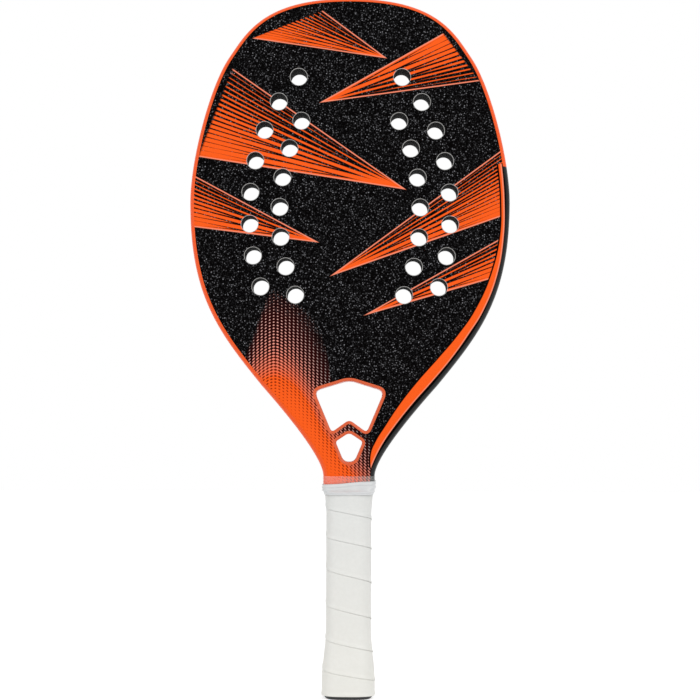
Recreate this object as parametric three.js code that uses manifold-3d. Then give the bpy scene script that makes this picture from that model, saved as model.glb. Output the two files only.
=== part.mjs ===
// A beach tennis racket, 500 mm long. A hollow carbon frame loops round a drilled foam core, a laminate
// face covers each side, three pieces brace the throat, and the handle is built up, capped and wrapped.
// It stands on its butt: +Z runs up the racket, the front face looks towards -Y, and the origin is the
// centre of the flat end. All lengths are in millimetres.

import * as THREE from 'three';
import { mergeVertices } from 'three/addons/utils/BufferGeometryUtils.js';
import Module from 'manifold-3d';

const wasm = await Module();
wasm.setup();

// Clearances
const fitGap = 0.3; // between two pieces that are bonded or pressed together
const overrun = 5; // how far a cutting body runs past what it cuts

// Heights along the racket, each one measured from the one before
const handleLength = 157.8; // butt end to neck
const throatHeight = 80.7; // neck to the bottom of the core
const coreFall = 115; // bottom of the core to the widest place
const shoulderRise = 103.8; // widest place to the shoulder
const crownRise = 42.7; // shoulder to the crown

// Outline of the frame
const headWidth = 228.6;
const shoulderWidth = 173.8;
const flankWidth = 125.8;
const flankRise = 64.8; // neck to flank
const neckWidth = 36.6;
const crownHandleShare = 0.717;
const shoulderUpShare = 0.504;
const shoulderDownShare = 0.242;
const wideUpShare = 0.288;
const wideDownShare = 0.511;
const flankUpShare = 0.374;
const flankDownShare = 0.08;
const neckUpShare = 0.243;
const shoulderLeanShare = 0.676; // sideways run of the outline for each unit of height
const flankLeanShare = 0.819;

// Frame tube
const headThickness = 22; // over both faces
const faceThickness = 1;
const faceBreakShare = 0.7; // where the rounding of the face's edge changes slope
const tubeWidth = 12;
const tubeWall = 1.6;
const rimRadius = 5; // how far the rounding of the rim reaches in from the edge
const rimBand = 11; // straight band left on the rim between its two roundings

// Frame legs inside the handle
const legGap = 4;
const legWidth = 10;
const legThickness = 17;
const legEnd = 12; // height of the cut ends
const collarTopDrop = 7; // from the neck down to where the frame starts to draw in
const collarDrop = 6; // height over which it draws in

// Throat
const veeFootRise = 5.8; // neck to where the two legs part
const veeSpread = 66.8; // between the legs at the bottom of the core
const blockRise = 10.1; // neck to the lower opening
const lowerOpeningHeight = 20.8;
const lowerOpeningDrop = 6.5; // from its peak to its side corners
const braceWidth = 9.3;
const braceDrop = 9.1; // from the top of the brace to the corners beside it
const bridgeWidth = 12.3;
const bridgeDrop = 7.7; // from the underside of the bridge to the corners beside it
const bridgeRadius = 16; // rounding in the middle of the bridge's underside
const bigCornerRadius = 4.5;
const peakRadius = 4.5;
const smallCornerRadius = 2.5;
const footRoundShare = 0.95; // share of the lower opening's floor that its two corners take up

// Core outline below the widest place
const coreSideShare = 0.56;
const coreBottomShare = 0.6;

// Holes, in two mirrored rows that follow ellipses
const holeDiameter = 12;
const holeSides = 16;
const rowCentreDrop = 8.5; // from the widest place down to the centre of both ellipses
const outerRowInset = 42.7; // from the side of the head to the outer ellipse
const outerRowDrop = 41.2; // from the crown to the outer ellipse
const rowGapAcross = 21.4; // between the two ellipses at their sides
const rowGapUp = 22; // and at their tops
const outerRowHoles = { startAngle: 59, spacing: 22.8, count: 8 };
const innerRowHoles = { startAngle: 46, spacing: 21.4, count: 7 };

// Handle under its wrap
const gripWidth = 28.6;
const gripDepth = 24.6;
const gripPower = 3; // squareness of the section, 2 being an ellipse
const flareWidth = 5.6; // widening at the butt
const flareDepth = 5.2;
const flareFull = 12; // the flare is full up to here
const flareEnd = 49; // and gone here
const topFlare = 1.8; // slight widening below the neck
const topFlareHeight = 14;

// Butt cap
const capFloor = 3;
const capSkirtTop = 34;
const capFootInset = 1.8; // the flat end is drawn in by this on each side
const capFootRise = 2.2; // height over which it is drawn in
const capFootMidShare = 0.25; // share of both at the middle of the rounding

// Staples through the front and back of the cap
const stapleHeight = 24;
const stapleSpan = 9.6;
const stapleWire = 1.2;
const stapleCrown = 0.9;
const stapleReach = 5; // from the back of the crown to the tips of its legs
const stapleSink = 0.25; // how far the crown lies below the surface of the cap

// Wrap
const wrapThickness = 1.6;
const wrapBottom = 2.6;
const wrapTopDrop = 12; // neck to the top of the wrap
const wrapPitch = 22.74;
const wrapFirstSeam = 17.4; // height of the lowest seam at the middle of the front
const wrapDrift = 2.4; // unevenness of a grip that was wound by hand
const driftTurns = 5.2;
const driftStart = 2.45;
const wrapSeam = 0.56; // groove between two turns
const wrapSkive = 1.2; // slope of the tape's thinned edges
const wrapLip = 0.35; // how far the overlapping edge stands up
const wrapLipWidth = 3.5;
const wrapLipShare = 0.33; // most of the tape's width that the lip takes where the tape is narrow
const bluntShare = 0.25; // share of the lower edge's slope that is blunted
const wrapTip = 2.5; // width of the tapered ends

// Clear film and finishing tape round the neck
const filmThickness = 0.3;
const filmLength = 10.5;
const collarPower = 6;
const neckCornerSlack = 0.5; // room for the corners of the neck inside the film
const tapeThickness = 0.6;
const tapeBottomDrop = 13.2; // neck to the lower edge of the tape
const tapeTopDrop = 4.7; // neck to its upper edge at the middle
const tapeSlant = 1.4; // the upper edge is this much higher on the right and lower on the left
const tapeShoulderRise = 3.4; // over which the tape steps from the grip to the neck
const tapePower = 3.5;

// Fineness of curves, in steps
const curveSteps = 11; // along each curve of the frame's outline
const openingSteps = 5; // round a corner of an opening
const rowSteps = 7200; // round an ellipse when the holes are spaced along it
const sectionSides = 32; // round the handle
const skirtSteps = 5; // up a flare
const wrapSteps = 24; // round one turn of the tape
const innerSteps = 3; // across the inside of the tape
const weldDistance = 0.0001; // points nearer to each other than this are one

// Values worked out from the sizes above
const neckZ = handleLength;
const coreBottomZ = neckZ + throatHeight;
const wideZ = coreBottomZ + coreFall;
const shoulderZ = wideZ + shoulderRise;
const crownZ = shoulderZ + crownRise;
const flankZ = neckZ + flankRise;
const collarTopZ = neckZ - collarTopDrop;
const collarBottomZ = collarTopZ - collarDrop;
const faceY = headThickness / 2;
const seatY = faceY - faceThickness;
const legY = legThickness / 2;
const legOuter = legGap / 2 + legWidth;
const veeFootZ = neckZ + veeFootRise;
const veeSlope = (veeSpread / 2 - legGap / 2) / (coreBottomZ - veeFootZ);
const veeStretch = Math.hypot(1, veeSlope);
const lowerFloorZ = neckZ + blockRise;
const lowerPeakZ = lowerFloorZ + lowerOpeningHeight;
const bracePeakZ = lowerPeakZ + braceWidth;
const bridgeUnderZ = coreBottomZ - bridgeWidth;
const wrapTopZ = neckZ - wrapTopDrop;
const rimRise = (headThickness - rimBand) / 2;
const rowCentreZ = wideZ - rowCentreDrop;
const outerEllipse = new THREE.Vector2(headWidth / 2 - outerRowInset, crownZ - outerRowDrop - rowCentreZ);
const innerEllipse = new THREE.Vector2(outerEllipse.x - rowGapAcross, outerEllipse.y - rowGapUp);
const frontMiddleSide = (3 * wrapSteps) / 4; // where a section, which starts on the right, is at the front

// Geometry helpers. A loop is a closed list of points in the plane of the racket, x across and y up it.

function toManifold(geometry) {
  const bare = geometry.clone();
  bare.deleteAttribute('normal');
  bare.deleteAttribute('uv');
  const merged = mergeVertices(bare, weldDistance);
  const vertProperties = new Float32Array(merged.attributes.position.array);
  const triVerts = new Uint32Array(merged.index.array);
  return new wasm.Manifold(new wasm.Mesh({ numProp: 3, vertProperties, triVerts }));
}

function fromManifold(solid) {
  const mesh = solid.getMesh();
  const geometry = new THREE.BufferGeometry();
  geometry.setAttribute('position', new THREE.Float32BufferAttribute(mesh.vertProperties, 3));
  geometry.setIndex(Array.from(mesh.triVerts));
  geometry.computeVertexNormals();
  return geometry;
}

function fromTriangles(points, triangles) {
  const geometry = new THREE.BufferGeometry();
  const flat = points.flatMap((point) => [point.x, point.y, point.z]);
  geometry.setAttribute('position', new THREE.Float32BufferAttribute(flat, 3));
  geometry.setIndex(triangles.flat());
  geometry.computeVertexNormals();
  return geometry;
}

// Moves a half outline sideways. It starts on the centre line, so its first point keeps its mirror image
// as a neighbour, and a positive distance moves it towards the right-hand side of its direction.
function shifted(points, distance) {
  const last = points.length - 1;
  return points.map((point, i) => {
    const before = i > 0 ? points[i - 1] : new THREE.Vector2(-points[1].x, points[1].y);
    const after = i < last ? points[i + 1] : point;
    const wayIn = point.clone().sub(before).normalize();
    const wayOut = i < last ? after.clone().sub(point).normalize() : wayIn;
    const way = wayIn.clone().add(wayOut).normalize();
    const reach = distance / way.dot(wayIn);
    return new THREE.Vector2(point.x + way.y * reach, point.y - way.x * reach);
  });
}

function flipped(points) {
  return points.map((point) => new THREE.Vector2(-point.x, point.y));
}

// The anticlockwise loop of a right half that runs down from the centre line
function wholeLoop(half) {
  return [...flipped(half).reverse(), ...half.slice(1)].reverse();
}

// A closed body through loops given from front to back, with straight holes through it
function slab(layers, holes = []) {
  const points = [];
  const triangles = [];
  const addRing = (loop, y) => {
    const start = points.length;
    loop.forEach((point) => points.push(new THREE.Vector3(point.x, y, point.y)));
    return start;
  };
  const addWall = (front, back, count, turned) => {
    for (let i = 0; i < count; i++) {
      const next = (i + 1) % count;
      const quad = [front + i, back + i, back + next, front + next];
      if (turned) quad.reverse();
      triangles.push([quad[0], quad[1], quad[2]], [quad[0], quad[2], quad[3]]);
    }
  };
  const rings = layers.map((layer) => addRing(layer.loop, layer.y));
  for (let i = 1; i < rings.length; i++) {
    addWall(rings[i - 1], rings[i], layers[0].loop.length, false);
  }
  const ends = [layers[0], layers[layers.length - 1]];
  const holeRings = ends.map((layer) => holes.map((hole) => addRing(hole, layer.y)));
  holes.forEach((hole, i) => addWall(holeRings[0][i], holeRings[1][i], hole.length, true));
  ends.forEach((layer, side) => {
    const ring = side === 0 ? rings[0] : rings[rings.length - 1];
    const places = layer.loop.map((point, i) => ring + i);
    holes.forEach((hole, k) => hole.forEach((point, i) => places.push(holeRings[side][k] + i)));
    THREE.ShapeUtils.triangulateShape(layer.loop, holes).forEach((face) => {
      const corners = face.map((i) => places[i]);
      triangles.push(side === 0 ? corners : corners.reverse());
    });
  });
  return fromTriangles(points, triangles);
}

// A loop with its corners rounded, given as corners with a radius each, anticlockwise from the front.
function roundedLoop(corners) {
  const path = new THREE.Path();
  corners.forEach((corner, i) => {
    const before = corners[(i + corners.length - 1) % corners.length].at;
    const after = corners[(i + 1) % corners.length].at;
    const toBefore = before.clone().sub(corner.at).normalize();
    const toAfter = after.clone().sub(corner.at).normalize();
    const reach = corner.radius / Math.tan(toBefore.angleTo(toAfter) / 2);
    const start = corner.at.clone().addScaledVector(toBefore, reach);
    const end = corner.at.clone().addScaledVector(toAfter, reach);
    if (i === 0) path.moveTo(start.x, start.y);
    else path.lineTo(start.x, start.y);
    path.quadraticCurveTo(corner.at.x, corner.at.y, end.x, end.y);
  });
  return path.getPoints(openingSteps);
}

// A ring round the handle at one height: an ellipse squared off by a power, tilted where one is given.
function sectionRing(row, sides = sectionSides) {
  return Array.from({ length: sides }, (empty, i) => {
    const angle = (2 * Math.PI * i) / sides;
    const across = Math.sign(Math.cos(angle)) * Math.abs(Math.cos(angle)) ** (2 / row.power);
    const along = Math.sign(Math.sin(angle)) * Math.abs(Math.sin(angle)) ** (2 / row.power);
    const height = row.z + (row.tilt ?? 0) * across;
    return new THREE.Vector3(row.halfWidth * across, row.halfDepth * along, height);
  });
}

// A body through rings stacked up the handle. A sleeve's rings go up its outside and down its inside.
function loft(rows, sleeve = false) {
  const points = rows.flatMap((row) => sectionRing(row));
  const triangles = [];
  const steps = sleeve ? rows.length : rows.length - 1;
  for (let r = 0; r < steps; r++) {
    const low = r * sectionSides;
    const high = ((r + 1) % rows.length) * sectionSides;
    for (let i = 0; i < sectionSides; i++) {
      const next = (i + 1) % sectionSides;
      triangles.push([low + i, low + next, high + next], [low + i, high + next, high + i]);
    }
  }
  if (!sleeve) {
    const top = (rows.length - 1) * sectionSides;
    for (let i = 1; i < sectionSides - 1; i++) {
      triangles.push([0, i + 1, i], [top, top + i, top + i + 1]);
    }
  }
  return fromTriangles(points, triangles);
}

function block(low, high) {
  const size = high.clone().sub(low);
  const middle = high.clone().add(low).multiplyScalar(0.5);
  const box = new THREE.BoxGeometry(size.x, size.y, size.z);
  return box.translate(middle.x, middle.y, middle.z);
}

// Outline of the frame, right half, from the crown down to the widest place and on to the leg's end

function outerHead() {
  const wide = headWidth / 2;
  const shoulder = new THREE.Vector2(shoulderWidth / 2, shoulderZ);
  const lean = new THREE.Vector2(-shoulderLeanShare, 1).normalize();
  const up = lean.clone().multiplyScalar(crownRise * shoulderUpShare).add(shoulder);
  const down = lean.clone().multiplyScalar(-shoulderRise * shoulderDownShare).add(shoulder);
  const path = new THREE.Path();
  path.moveTo(0, crownZ);
  path.bezierCurveTo(shoulder.x * crownHandleShare, crownZ, up.x, up.y, shoulder.x, shoulder.y);
  path.bezierCurveTo(down.x, down.y, wide, wideZ + shoulderRise * wideUpShare, wide, wideZ);
  return path.getPoints(curveSteps);
}

function outerThroat() {
  const wide = headWidth / 2;
  const neck = neckWidth / 2;
  const flank = new THREE.Vector2(flankWidth / 2, flankZ);
  const lean = new THREE.Vector2(flankLeanShare, 1).normalize();
  const fall = wideZ - flankZ;
  const up = lean.clone().multiplyScalar(fall * flankUpShare).add(flank);
  const down = lean.clone().multiplyScalar(-flankRise * flankDownShare).add(flank);
  const path = new THREE.Path();
  path.moveTo(wide, wideZ);
  path.bezierCurveTo(wide, wideZ - fall * wideDownShare, up.x, up.y, flank.x, flank.y);
  path.bezierCurveTo(down.x, down.y, neck, neckZ + flankRise * neckUpShare, neck, neckZ);
  return path.getPoints(curveSteps).slice(1);
}

function outerHalf(inset) {
  return shifted([...outerHead(), ...outerThroat(), new THREE.Vector2(neckWidth / 2, collarTopZ)], inset);
}

function outerHalfWithLeg(inset, endZ) {
  const leg = [new THREE.Vector2(legOuter, collarBottomZ), new THREE.Vector2(legOuter, endZ)];
  const collar = new THREE.Vector2(neckWidth / 2, collarTopZ);
  return shifted([...outerHead(), ...outerThroat(), collar, ...leg], inset);
}

// Inner side of the tube: round the core, then down the straight edges of the throat to the slot

function veeHalfAt(z) {
  return legGap / 2 + (z - veeFootZ) * veeSlope;
}

function coreUpper() {
  return shifted(outerHead(), tubeWidth);
}

function coreLower() {
  const side = headWidth / 2 - tubeWidth;
  const path = new THREE.Path();
  path.moveTo(side, wideZ);
  const sideHandle = wideZ - coreFall * coreSideShare;
  path.bezierCurveTo(side, sideHandle, side * coreBottomShare, coreBottomZ, 0, coreBottomZ);
  return path.getPoints(2 * curveSteps).slice(1);
}

// Splits the lower edge of the core where it meets the throat's straight edge, drawn in by an inset
function splitAtVee(inset) {
  const points = coreLower();
  const over = (point) => point.x - veeHalfAt(point.y) + inset;
  const index = points.findIndex((point) => over(point) < 0);
  const high = points[index - 1];
  const low = points[index];
  const meeting = high.clone().lerp(low, over(high) / (over(high) - over(low)));
  return { outside: points.slice(0, index), meeting, inside: points.slice(index) };
}

function innerHalf(inset, endZ) {
  const { outside, meeting } = splitAtVee(0);
  const foot = new THREE.Vector2(legGap / 2, veeFootZ);
  const end = new THREE.Vector2(legGap / 2, endZ);
  return shifted([...coreUpper(), ...outside, meeting, foot, end], inset);
}

// Rounding of the rim: how far the outline is drawn in at a distance from the middle plane

function rimInset(y) {
  const rise = Math.max(0, Math.abs(y) - rimBand / 2) / rimRise;
  return rimRadius * (1 - Math.sqrt(Math.max(0, 1 - rise * rise)));
}

// Frame tube

function hairpin(outerInset, innerInset, endZ) {
  const outer = outerHalfWithLeg(outerInset, endZ);
  const inner = innerHalf(innerInset, endZ);
  const rightSide = [...outer, ...inner.slice(1).reverse()];
  return [...flipped(outer).reverse(), ...rightSide.slice(1), ...flipped(inner)].reverse();
}

// Side view of the frame: full thickness down to the collar, then thinner legs
function sideProfile(wall) {
  const full = seatY - wall;
  const thin = legY - wall;
  const top = crownZ + overrun;
  const foot = -overrun;
  const shape = new THREE.Shape();
  shape.moveTo(-thin, foot);
  shape.lineTo(thin, foot);
  shape.lineTo(thin, collarBottomZ);
  shape.lineTo(full, collarTopZ);
  shape.lineTo(full, top);
  shape.lineTo(-full, top);
  shape.lineTo(-full, collarTopZ);
  shape.lineTo(-thin, collarBottomZ);
  const width = headWidth + 2 * overrun;
  const body = new THREE.ExtrudeGeometry(shape, { depth: width, bevelEnabled: false });
  const turn = new THREE.Matrix4();
  turn.makeBasis(new THREE.Vector3(0, 1, 0), new THREE.Vector3(0, 0, 1), new THREE.Vector3(1, 0, 0));
  body.applyMatrix4(turn);
  body.translate(-width / 2, 0, 0);
  return toManifold(body);
}

function frameTube() {
  const band = rimBand / 2;
  const middle = (band + seatY) / 2;
  const outside = slab([-seatY, -middle, -band, band, middle, seatY].map((y) => {
    return { y, loop: hairpin(rimInset(y), 0, legEnd) };
  }));
  const hollowY = seatY - tubeWall;
  const hollow = slab([-hollowY, -band, band, hollowY].map((y) => {
    return { y, loop: hairpin(rimInset(y) + tubeWall, -tubeWall, legEnd - overrun) };
  }));
  const body = toManifold(outside).intersect(sideProfile(0));
  return fromManifold(body.subtract(toManifold(hollow).intersect(sideProfile(tubeWall))));
}

// Holes and openings, as loops that every piece they pass through shares

function rowCentres(ellipse, holes) {
  const at = (angle) => {
    return new THREE.Vector2(ellipse.x * Math.cos(angle), rowCentreZ + ellipse.y * Math.sin(angle));
  };
  const centres = [];
  let angle = THREE.MathUtils.degToRad(holes.startAngle);
  let place = at(angle);
  let walked = 0;
  while (centres.length < holes.count) {
    if (walked >= holes.spacing * centres.length) centres.push(place);
    angle -= (2 * Math.PI) / rowSteps;
    walked += at(angle).distanceTo(place);
    place = at(angle);
  }
  return centres;
}

function holeLoops() {
  const right = [...rowCentres(outerEllipse, outerRowHoles), ...rowCentres(innerEllipse, innerRowHoles)];
  const centres = [...right, ...flipped(right)];
  return centres.map((centre) => {
    const path = new THREE.Path();
    path.absarc(centre.x, centre.y, holeDiameter / 2, 0, 2 * Math.PI, false);
    return path.getPoints(holeSides / 2).slice(0, holeSides);
  });
}

function corner(x, y, radius) {
  return { at: new THREE.Vector2(x, y), radius };
}

function onVee(side, z, radius) {
  return corner(side * veeHalfAt(z), z, radius);
}

function upperOpening() {
  return roundedLoop([
    corner(0, bridgeUnderZ, bridgeRadius),
    onVee(-1, bridgeUnderZ - bridgeDrop, bigCornerRadius),
    onVee(-1, bracePeakZ - braceDrop, smallCornerRadius),
    corner(0, bracePeakZ, peakRadius),
    onVee(1, bracePeakZ - braceDrop, smallCornerRadius),
    onVee(1, bridgeUnderZ - bridgeDrop, bigCornerRadius),
  ]);
}

function lowerOpening() {
  const halfTurn = (Math.PI / 2 + Math.atan(veeSlope)) / 2;
  const footRadius = footRoundShare * veeHalfAt(lowerFloorZ) * Math.tan(halfTurn);
  return roundedLoop([
    corner(0, lowerPeakZ, peakRadius),
    onVee(-1, lowerPeakZ - lowerOpeningDrop, smallCornerRadius),
    onVee(-1, lowerFloorZ, footRadius),
    onVee(1, lowerFloorZ, footRadius),
    onVee(1, lowerPeakZ - lowerOpeningDrop, smallCornerRadius),
  ]);
}

// Core and faces

function foamCore() {
  const half = [...coreUpper(), ...coreLower().slice(0, -1)];
  const bottom = new THREE.Vector2(0, coreBottomZ + fitGap);
  const loop = wholeLoop([...shifted(half, fitGap), bottom]).slice(1);
  return slab([-seatY, seatY].map((y) => ({ y, loop })), holeLoops());
}

function frontFace() {
  const middle = seatY + faceThickness * faceBreakShare;
  const layers = [-faceY, -middle, -seatY].map((y) => ({ y, loop: wholeLoop(outerHalf(rimInset(y))) }));
  return slab(layers, [...holeLoops(), upperOpening(), lowerOpening()]);
}

// Throat: one plate between the legs, cut into three pieces by the two openings

function throatPiece(lowZ, highZ) {
  const inset = fitGap * veeStretch;
  const { meeting, inside } = splitAtVee(inset);
  const foot = new THREE.Vector2(legGap / 2 - fitGap, veeFootZ);
  const tail = new THREE.Vector2(legGap / 2 - fitGap, collarTopZ);
  const loop = wholeLoop([...inside.reverse(), meeting, foot, tail]);
  const plate = toManifold(slab([-seatY, seatY].map((y) => ({ y, loop }))));
  const low = new THREE.Vector3(-headWidth, -faceY, lowZ);
  const high = new THREE.Vector3(headWidth, faceY, highZ);
  const band = plate.intersect(toManifold(block(low, high)));
  const openings = [upperOpening(), lowerOpening()];
  const cutters = openings.map((opening) => {
    return toManifold(slab([-faceY, faceY].map((y) => ({ y, loop: opening }))));
  });
  return fromManifold(band.subtract(cutters[0]).subtract(cutters[1]));
}

// Built-up handle: its section at a height, grown on every side

function handleRow(z, grow) {
  const butt = 1 - THREE.MathUtils.smoothstep(z, flareFull, flareEnd);
  const top = THREE.MathUtils.smoothstep(z, collarBottomZ - topFlareHeight, collarBottomZ);
  const halfWidth = (gripWidth + butt * flareWidth + top * topFlare) / 2 + grow;
  const halfDepth = (gripDepth + butt * flareDepth + top * topFlare) / 2 + grow;
  return { z, halfWidth, halfDepth, power: gripPower };
}

function plainRow(z, grow) {
  return { z, halfWidth: gripWidth / 2 + grow, halfDepth: gripDepth / 2 + grow, power: gripPower };
}

function spread(low, high, count) {
  return Array.from({ length: count + 1 }, (empty, i) => low + ((high - low) * i) / count);
}

function buttCap() {
  const foot = [
    handleRow(0, -capFootInset),
    handleRow(capFootRise * capFootMidShare, -capFootInset * capFootMidShare),
    handleRow(capFootRise, 0),
  ];
  const skirt = spread(flareFull, capSkirtTop, skirtSteps).map((z) => handleRow(z, 0));
  const cavity = [plainRow(capFloor, fitGap), plainRow(capSkirtTop + overrun, fitGap)];
  const cup = toManifold(loft([...foot, ...skirt])).subtract(toManifold(loft(cavity)));
  const front = staple(fitGap, overrun);
  const back = front.clone().rotateZ(Math.PI);
  return fromManifold(cup.subtract(toManifold(front)).subtract(toManifold(back)));
}

function frontPallet() {
  const foot = capFloor + fitGap;
  const step = capSkirtTop + fitGap;
  const top = collarBottomZ - fitGap;
  const flare = spread(step, flareEnd, skirtSteps);
  const rise = spread(collarBottomZ - topFlareHeight, top, skirtSteps);
  const rows = [plainRow(foot, 0), plainRow(step, 0), ...[...flare, ...rise].map((z) => handleRow(z, 0))];
  const half = block(
    new THREE.Vector3(-gripWidth, -gripDepth, 0),
    new THREE.Vector3(gripWidth, -fitGap / 2, handleLength),
  );
  const depth = legY + fitGap;
  const channels = [-1, 1].map((side) => {
    const edges = [side * (legGap / 2 - fitGap), side * (legOuter + fitGap)];
    const low = new THREE.Vector3(Math.min(...edges), -depth, legEnd - fitGap);
    const high = new THREE.Vector3(Math.max(...edges), depth, handleLength);
    return toManifold(block(low, high));
  });
  const solid = toManifold(loft(rows)).intersect(toManifold(half));
  const hollowed = solid.subtract(channels[0]).subtract(channels[1]);
  return fromManifold(hollowed.subtract(toManifold(staple(fitGap, overrun))));
}

// A staple in the front of the cap: a crown lying across it and two legs driven into the pallet. Grown, it
// is the slot that holds it, left open to the outside.
function staple(grow, opened) {
  const outside = -handleRow(stapleHeight, 0).halfDepth + stapleSink;
  const half = stapleSpan / 2;
  const crownIn = outside + stapleCrown + grow;
  const tip = outside + stapleReach + grow;
  const shape = new THREE.Shape();
  shape.moveTo(-half - grow, outside - opened);
  shape.lineTo(half + grow, outside - opened);
  shape.lineTo(half + grow, tip);
  shape.lineTo(half - stapleWire - grow, tip);
  shape.lineTo(half - stapleWire - grow, crownIn);
  shape.lineTo(-half + stapleWire + grow, crownIn);
  shape.lineTo(-half + stapleWire + grow, tip);
  shape.lineTo(-half - grow, tip);
  const height = stapleWire + 2 * grow;
  const body = new THREE.ExtrudeGeometry(shape, { depth: height, bevelEnabled: false });
  return body.translate(0, 0, stapleHeight - height / 2);
}

// Wrap: one tape wound up the handle from the butt. Each turn's lower edge laps the turn below, both edges
// are thinned to a slope, and both ends taper to a point.

function seamHeight(turn) {
  const drift = wrapDrift * Math.sin((2 * Math.PI * (turn - driftStart)) / driftTurns);
  return wrapFirstSeam + wrapPitch * turn + drift;
}

// Which corner of the section a step of the tape has reached, from the middle of the front to the left
function wrapSide(step) {
  return THREE.MathUtils.euclideanModulo(frontMiddleSide - step, wrapSteps);
}

// Share of a turn walked at each step
function walkShares() {
  const ring = sectionRing(plainRow(0, 0), wrapSteps);
  const walked = [0];
  for (let step = 1; step <= wrapSteps; step++) {
    walked.push(walked[step - 1] + ring[wrapSide(step)].distanceTo(ring[wrapSide(step - 1)]));
  }
  return walked.map((length) => length / walked[wrapSteps]);
}

function wrapPoint(step, z, grow) {
  return sectionRing(handleRow(z, fitGap + grow), wrapSteps)[wrapSide(step)];
}

function wrapSection(step, turn) {
  const within = (z) => Math.min(wrapTopZ, Math.max(wrapBottom, z));
  const low = within(seamHeight(turn));
  const high = within(seamHeight(turn + 1) - wrapSeam);
  const innerLow = within(seamHeight(turn) + wrapSkive);
  const innerHigh = within(seamHeight(turn + 1) - wrapSeam + wrapSkive);
  const lipTop = low + Math.min(wrapLipWidth, (high - low) * wrapLipShare);
  const bluntRise = wrapSkive * bluntShare;
  const inside = spread(innerHigh, innerLow, innerSteps).map((z) => wrapPoint(step, z, 0));
  return [
    ...inside,
    wrapPoint(step, within(seamHeight(turn) + bluntRise), wrapThickness * (1 - bluntShare)),
    wrapPoint(step, low + bluntRise, wrapThickness + wrapLip),
    wrapPoint(step, lipTop, wrapThickness),
    wrapPoint(step, (lipTop + high) / 2, wrapThickness),
    wrapPoint(step, high, wrapThickness),
  ];
}

function wrapSections() {
  const shares = walkShares();
  const turnAt = (step) => {
    const whole = Math.floor(step / wrapSteps);
    return whole + shares[step - whole * wrapSteps];
  };
  const sections = [];
  const farthest = Math.ceil(handleLength / wrapPitch + driftTurns) * wrapSteps; // past both of its ends
  for (let step = -farthest; step < farthest; step++) {
    const turn = turnAt(step);
    const started = seamHeight(turn + 1) - wrapSeam > wrapBottom + wrapTip;
    const ended = seamHeight(turn) > wrapTopZ - wrapTip;
    if (started && !ended) sections.push(wrapSection(step, turn));
  }
  return sections;
}

// The least distance between the upper edge of each turn and the lower edge of the next
function leastWrapGap(sections) {
  const along = (from, to) => spread(0, 1, wrapSteps).map((share) => from.clone().lerp(to, share));
  let least = Infinity;
  for (let i = 0; i + wrapSteps < sections.length; i++) {
    const upper = along(sections[i][sections[i].length - 1], sections[i][0]);
    for (let k = i + wrapSteps - 1; k <= i + wrapSteps + 1 && k < sections.length; k++) {
      const [root, blunt, lip] = sections[k].slice(innerSteps, innerSteps + 3);
      const lower = [...along(root, blunt), ...along(blunt, lip)];
      upper.forEach((a) => lower.forEach((b) => (least = Math.min(least, a.distanceTo(b)))));
    }
  }
  return least;
}

function gripWrap() {
  const sections = wrapSections();
  const count = sections[0].length;
  const triangles = [];
  for (let s = 1; s < sections.length; s++) {
    for (let i = 0; i < count; i++) {
      const next = (i + 1) % count;
      const [a, b] = [(s - 1) * count + i, (s - 1) * count + next];
      triangles.push([a, b + count, a + count], [a, b, b + count]);
    }
  }
  const end = (sections.length - 1) * count;
  for (let i = 1; i < count - 1; i++) {
    triangles.push([0, i + 1, i], [end, end + i, end + i + 1]);
  }
  console.log(`wrap: least gap to itself ${leastWrapGap(sections).toFixed(3)} mm`);
  return fromTriangles(sections.flat(), triangles);
}

// Clear film round the neck, and the finishing tape over it and over the top of the wrap

function neckRow(z, grow) {
  const halfWidth = neckWidth / 2 + fitGap + grow;
  const halfDepth = faceY + neckCornerSlack + fitGap + grow;
  return { z, halfWidth, halfDepth, power: collarPower };
}

function neckFilm() {
  const low = neckZ - filmLength;
  return loft([
    neckRow(low, filmThickness),
    neckRow(neckZ, filmThickness),
    neckRow(neckZ, 0),
    neckRow(low, 0),
  ], true);
}

function finishingTape() {
  const bottomZ = neckZ - tapeBottomDrop;
  const topZ = neckZ - tapeTopDrop;
  const overFilm = filmThickness + fitGap;
  const overWrap = 2 * fitGap + wrapThickness + wrapLip;
  const stepZ = wrapTopZ + fitGap;
  const filmZ = neckZ - filmLength - fitGap;
  const shoulderTopZ = stepZ + tapeShoulderRise;
  const stepShare = (filmZ - stepZ) / tapeShoulderRise;
  const lowRow = (z, grow) => ({ ...handleRow(collarBottomZ, overWrap + grow), z, power: tapePower });
  const highRow = (z, grow, tilt) => ({ ...neckRow(z, overFilm + grow), tilt });
  const stepRow = (grow) => {
    const { lerp } = THREE.MathUtils;
    const low = lowRow(filmZ, grow);
    const high = highRow(filmZ, grow, 0);
    const halfDepth = lerp(low.halfDepth, high.halfDepth, stepShare);
    return { ...high, halfDepth, power: lerp(tapePower, collarPower, stepShare) };
  };
  return loft([
    lowRow(bottomZ, tapeThickness),
    lowRow(stepZ, tapeThickness),
    stepRow(tapeThickness),
    highRow(shoulderTopZ, tapeThickness, 0),
    highRow(topZ, tapeThickness, tapeSlant),
    highRow(topZ, 0, tapeSlant),
    highRow(shoulderTopZ, 0, 0),
    stepRow(0),
    lowRow(stepZ, 0),
    lowRow(bottomZ, 0),
  ], true);
}

// Materials

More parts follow.
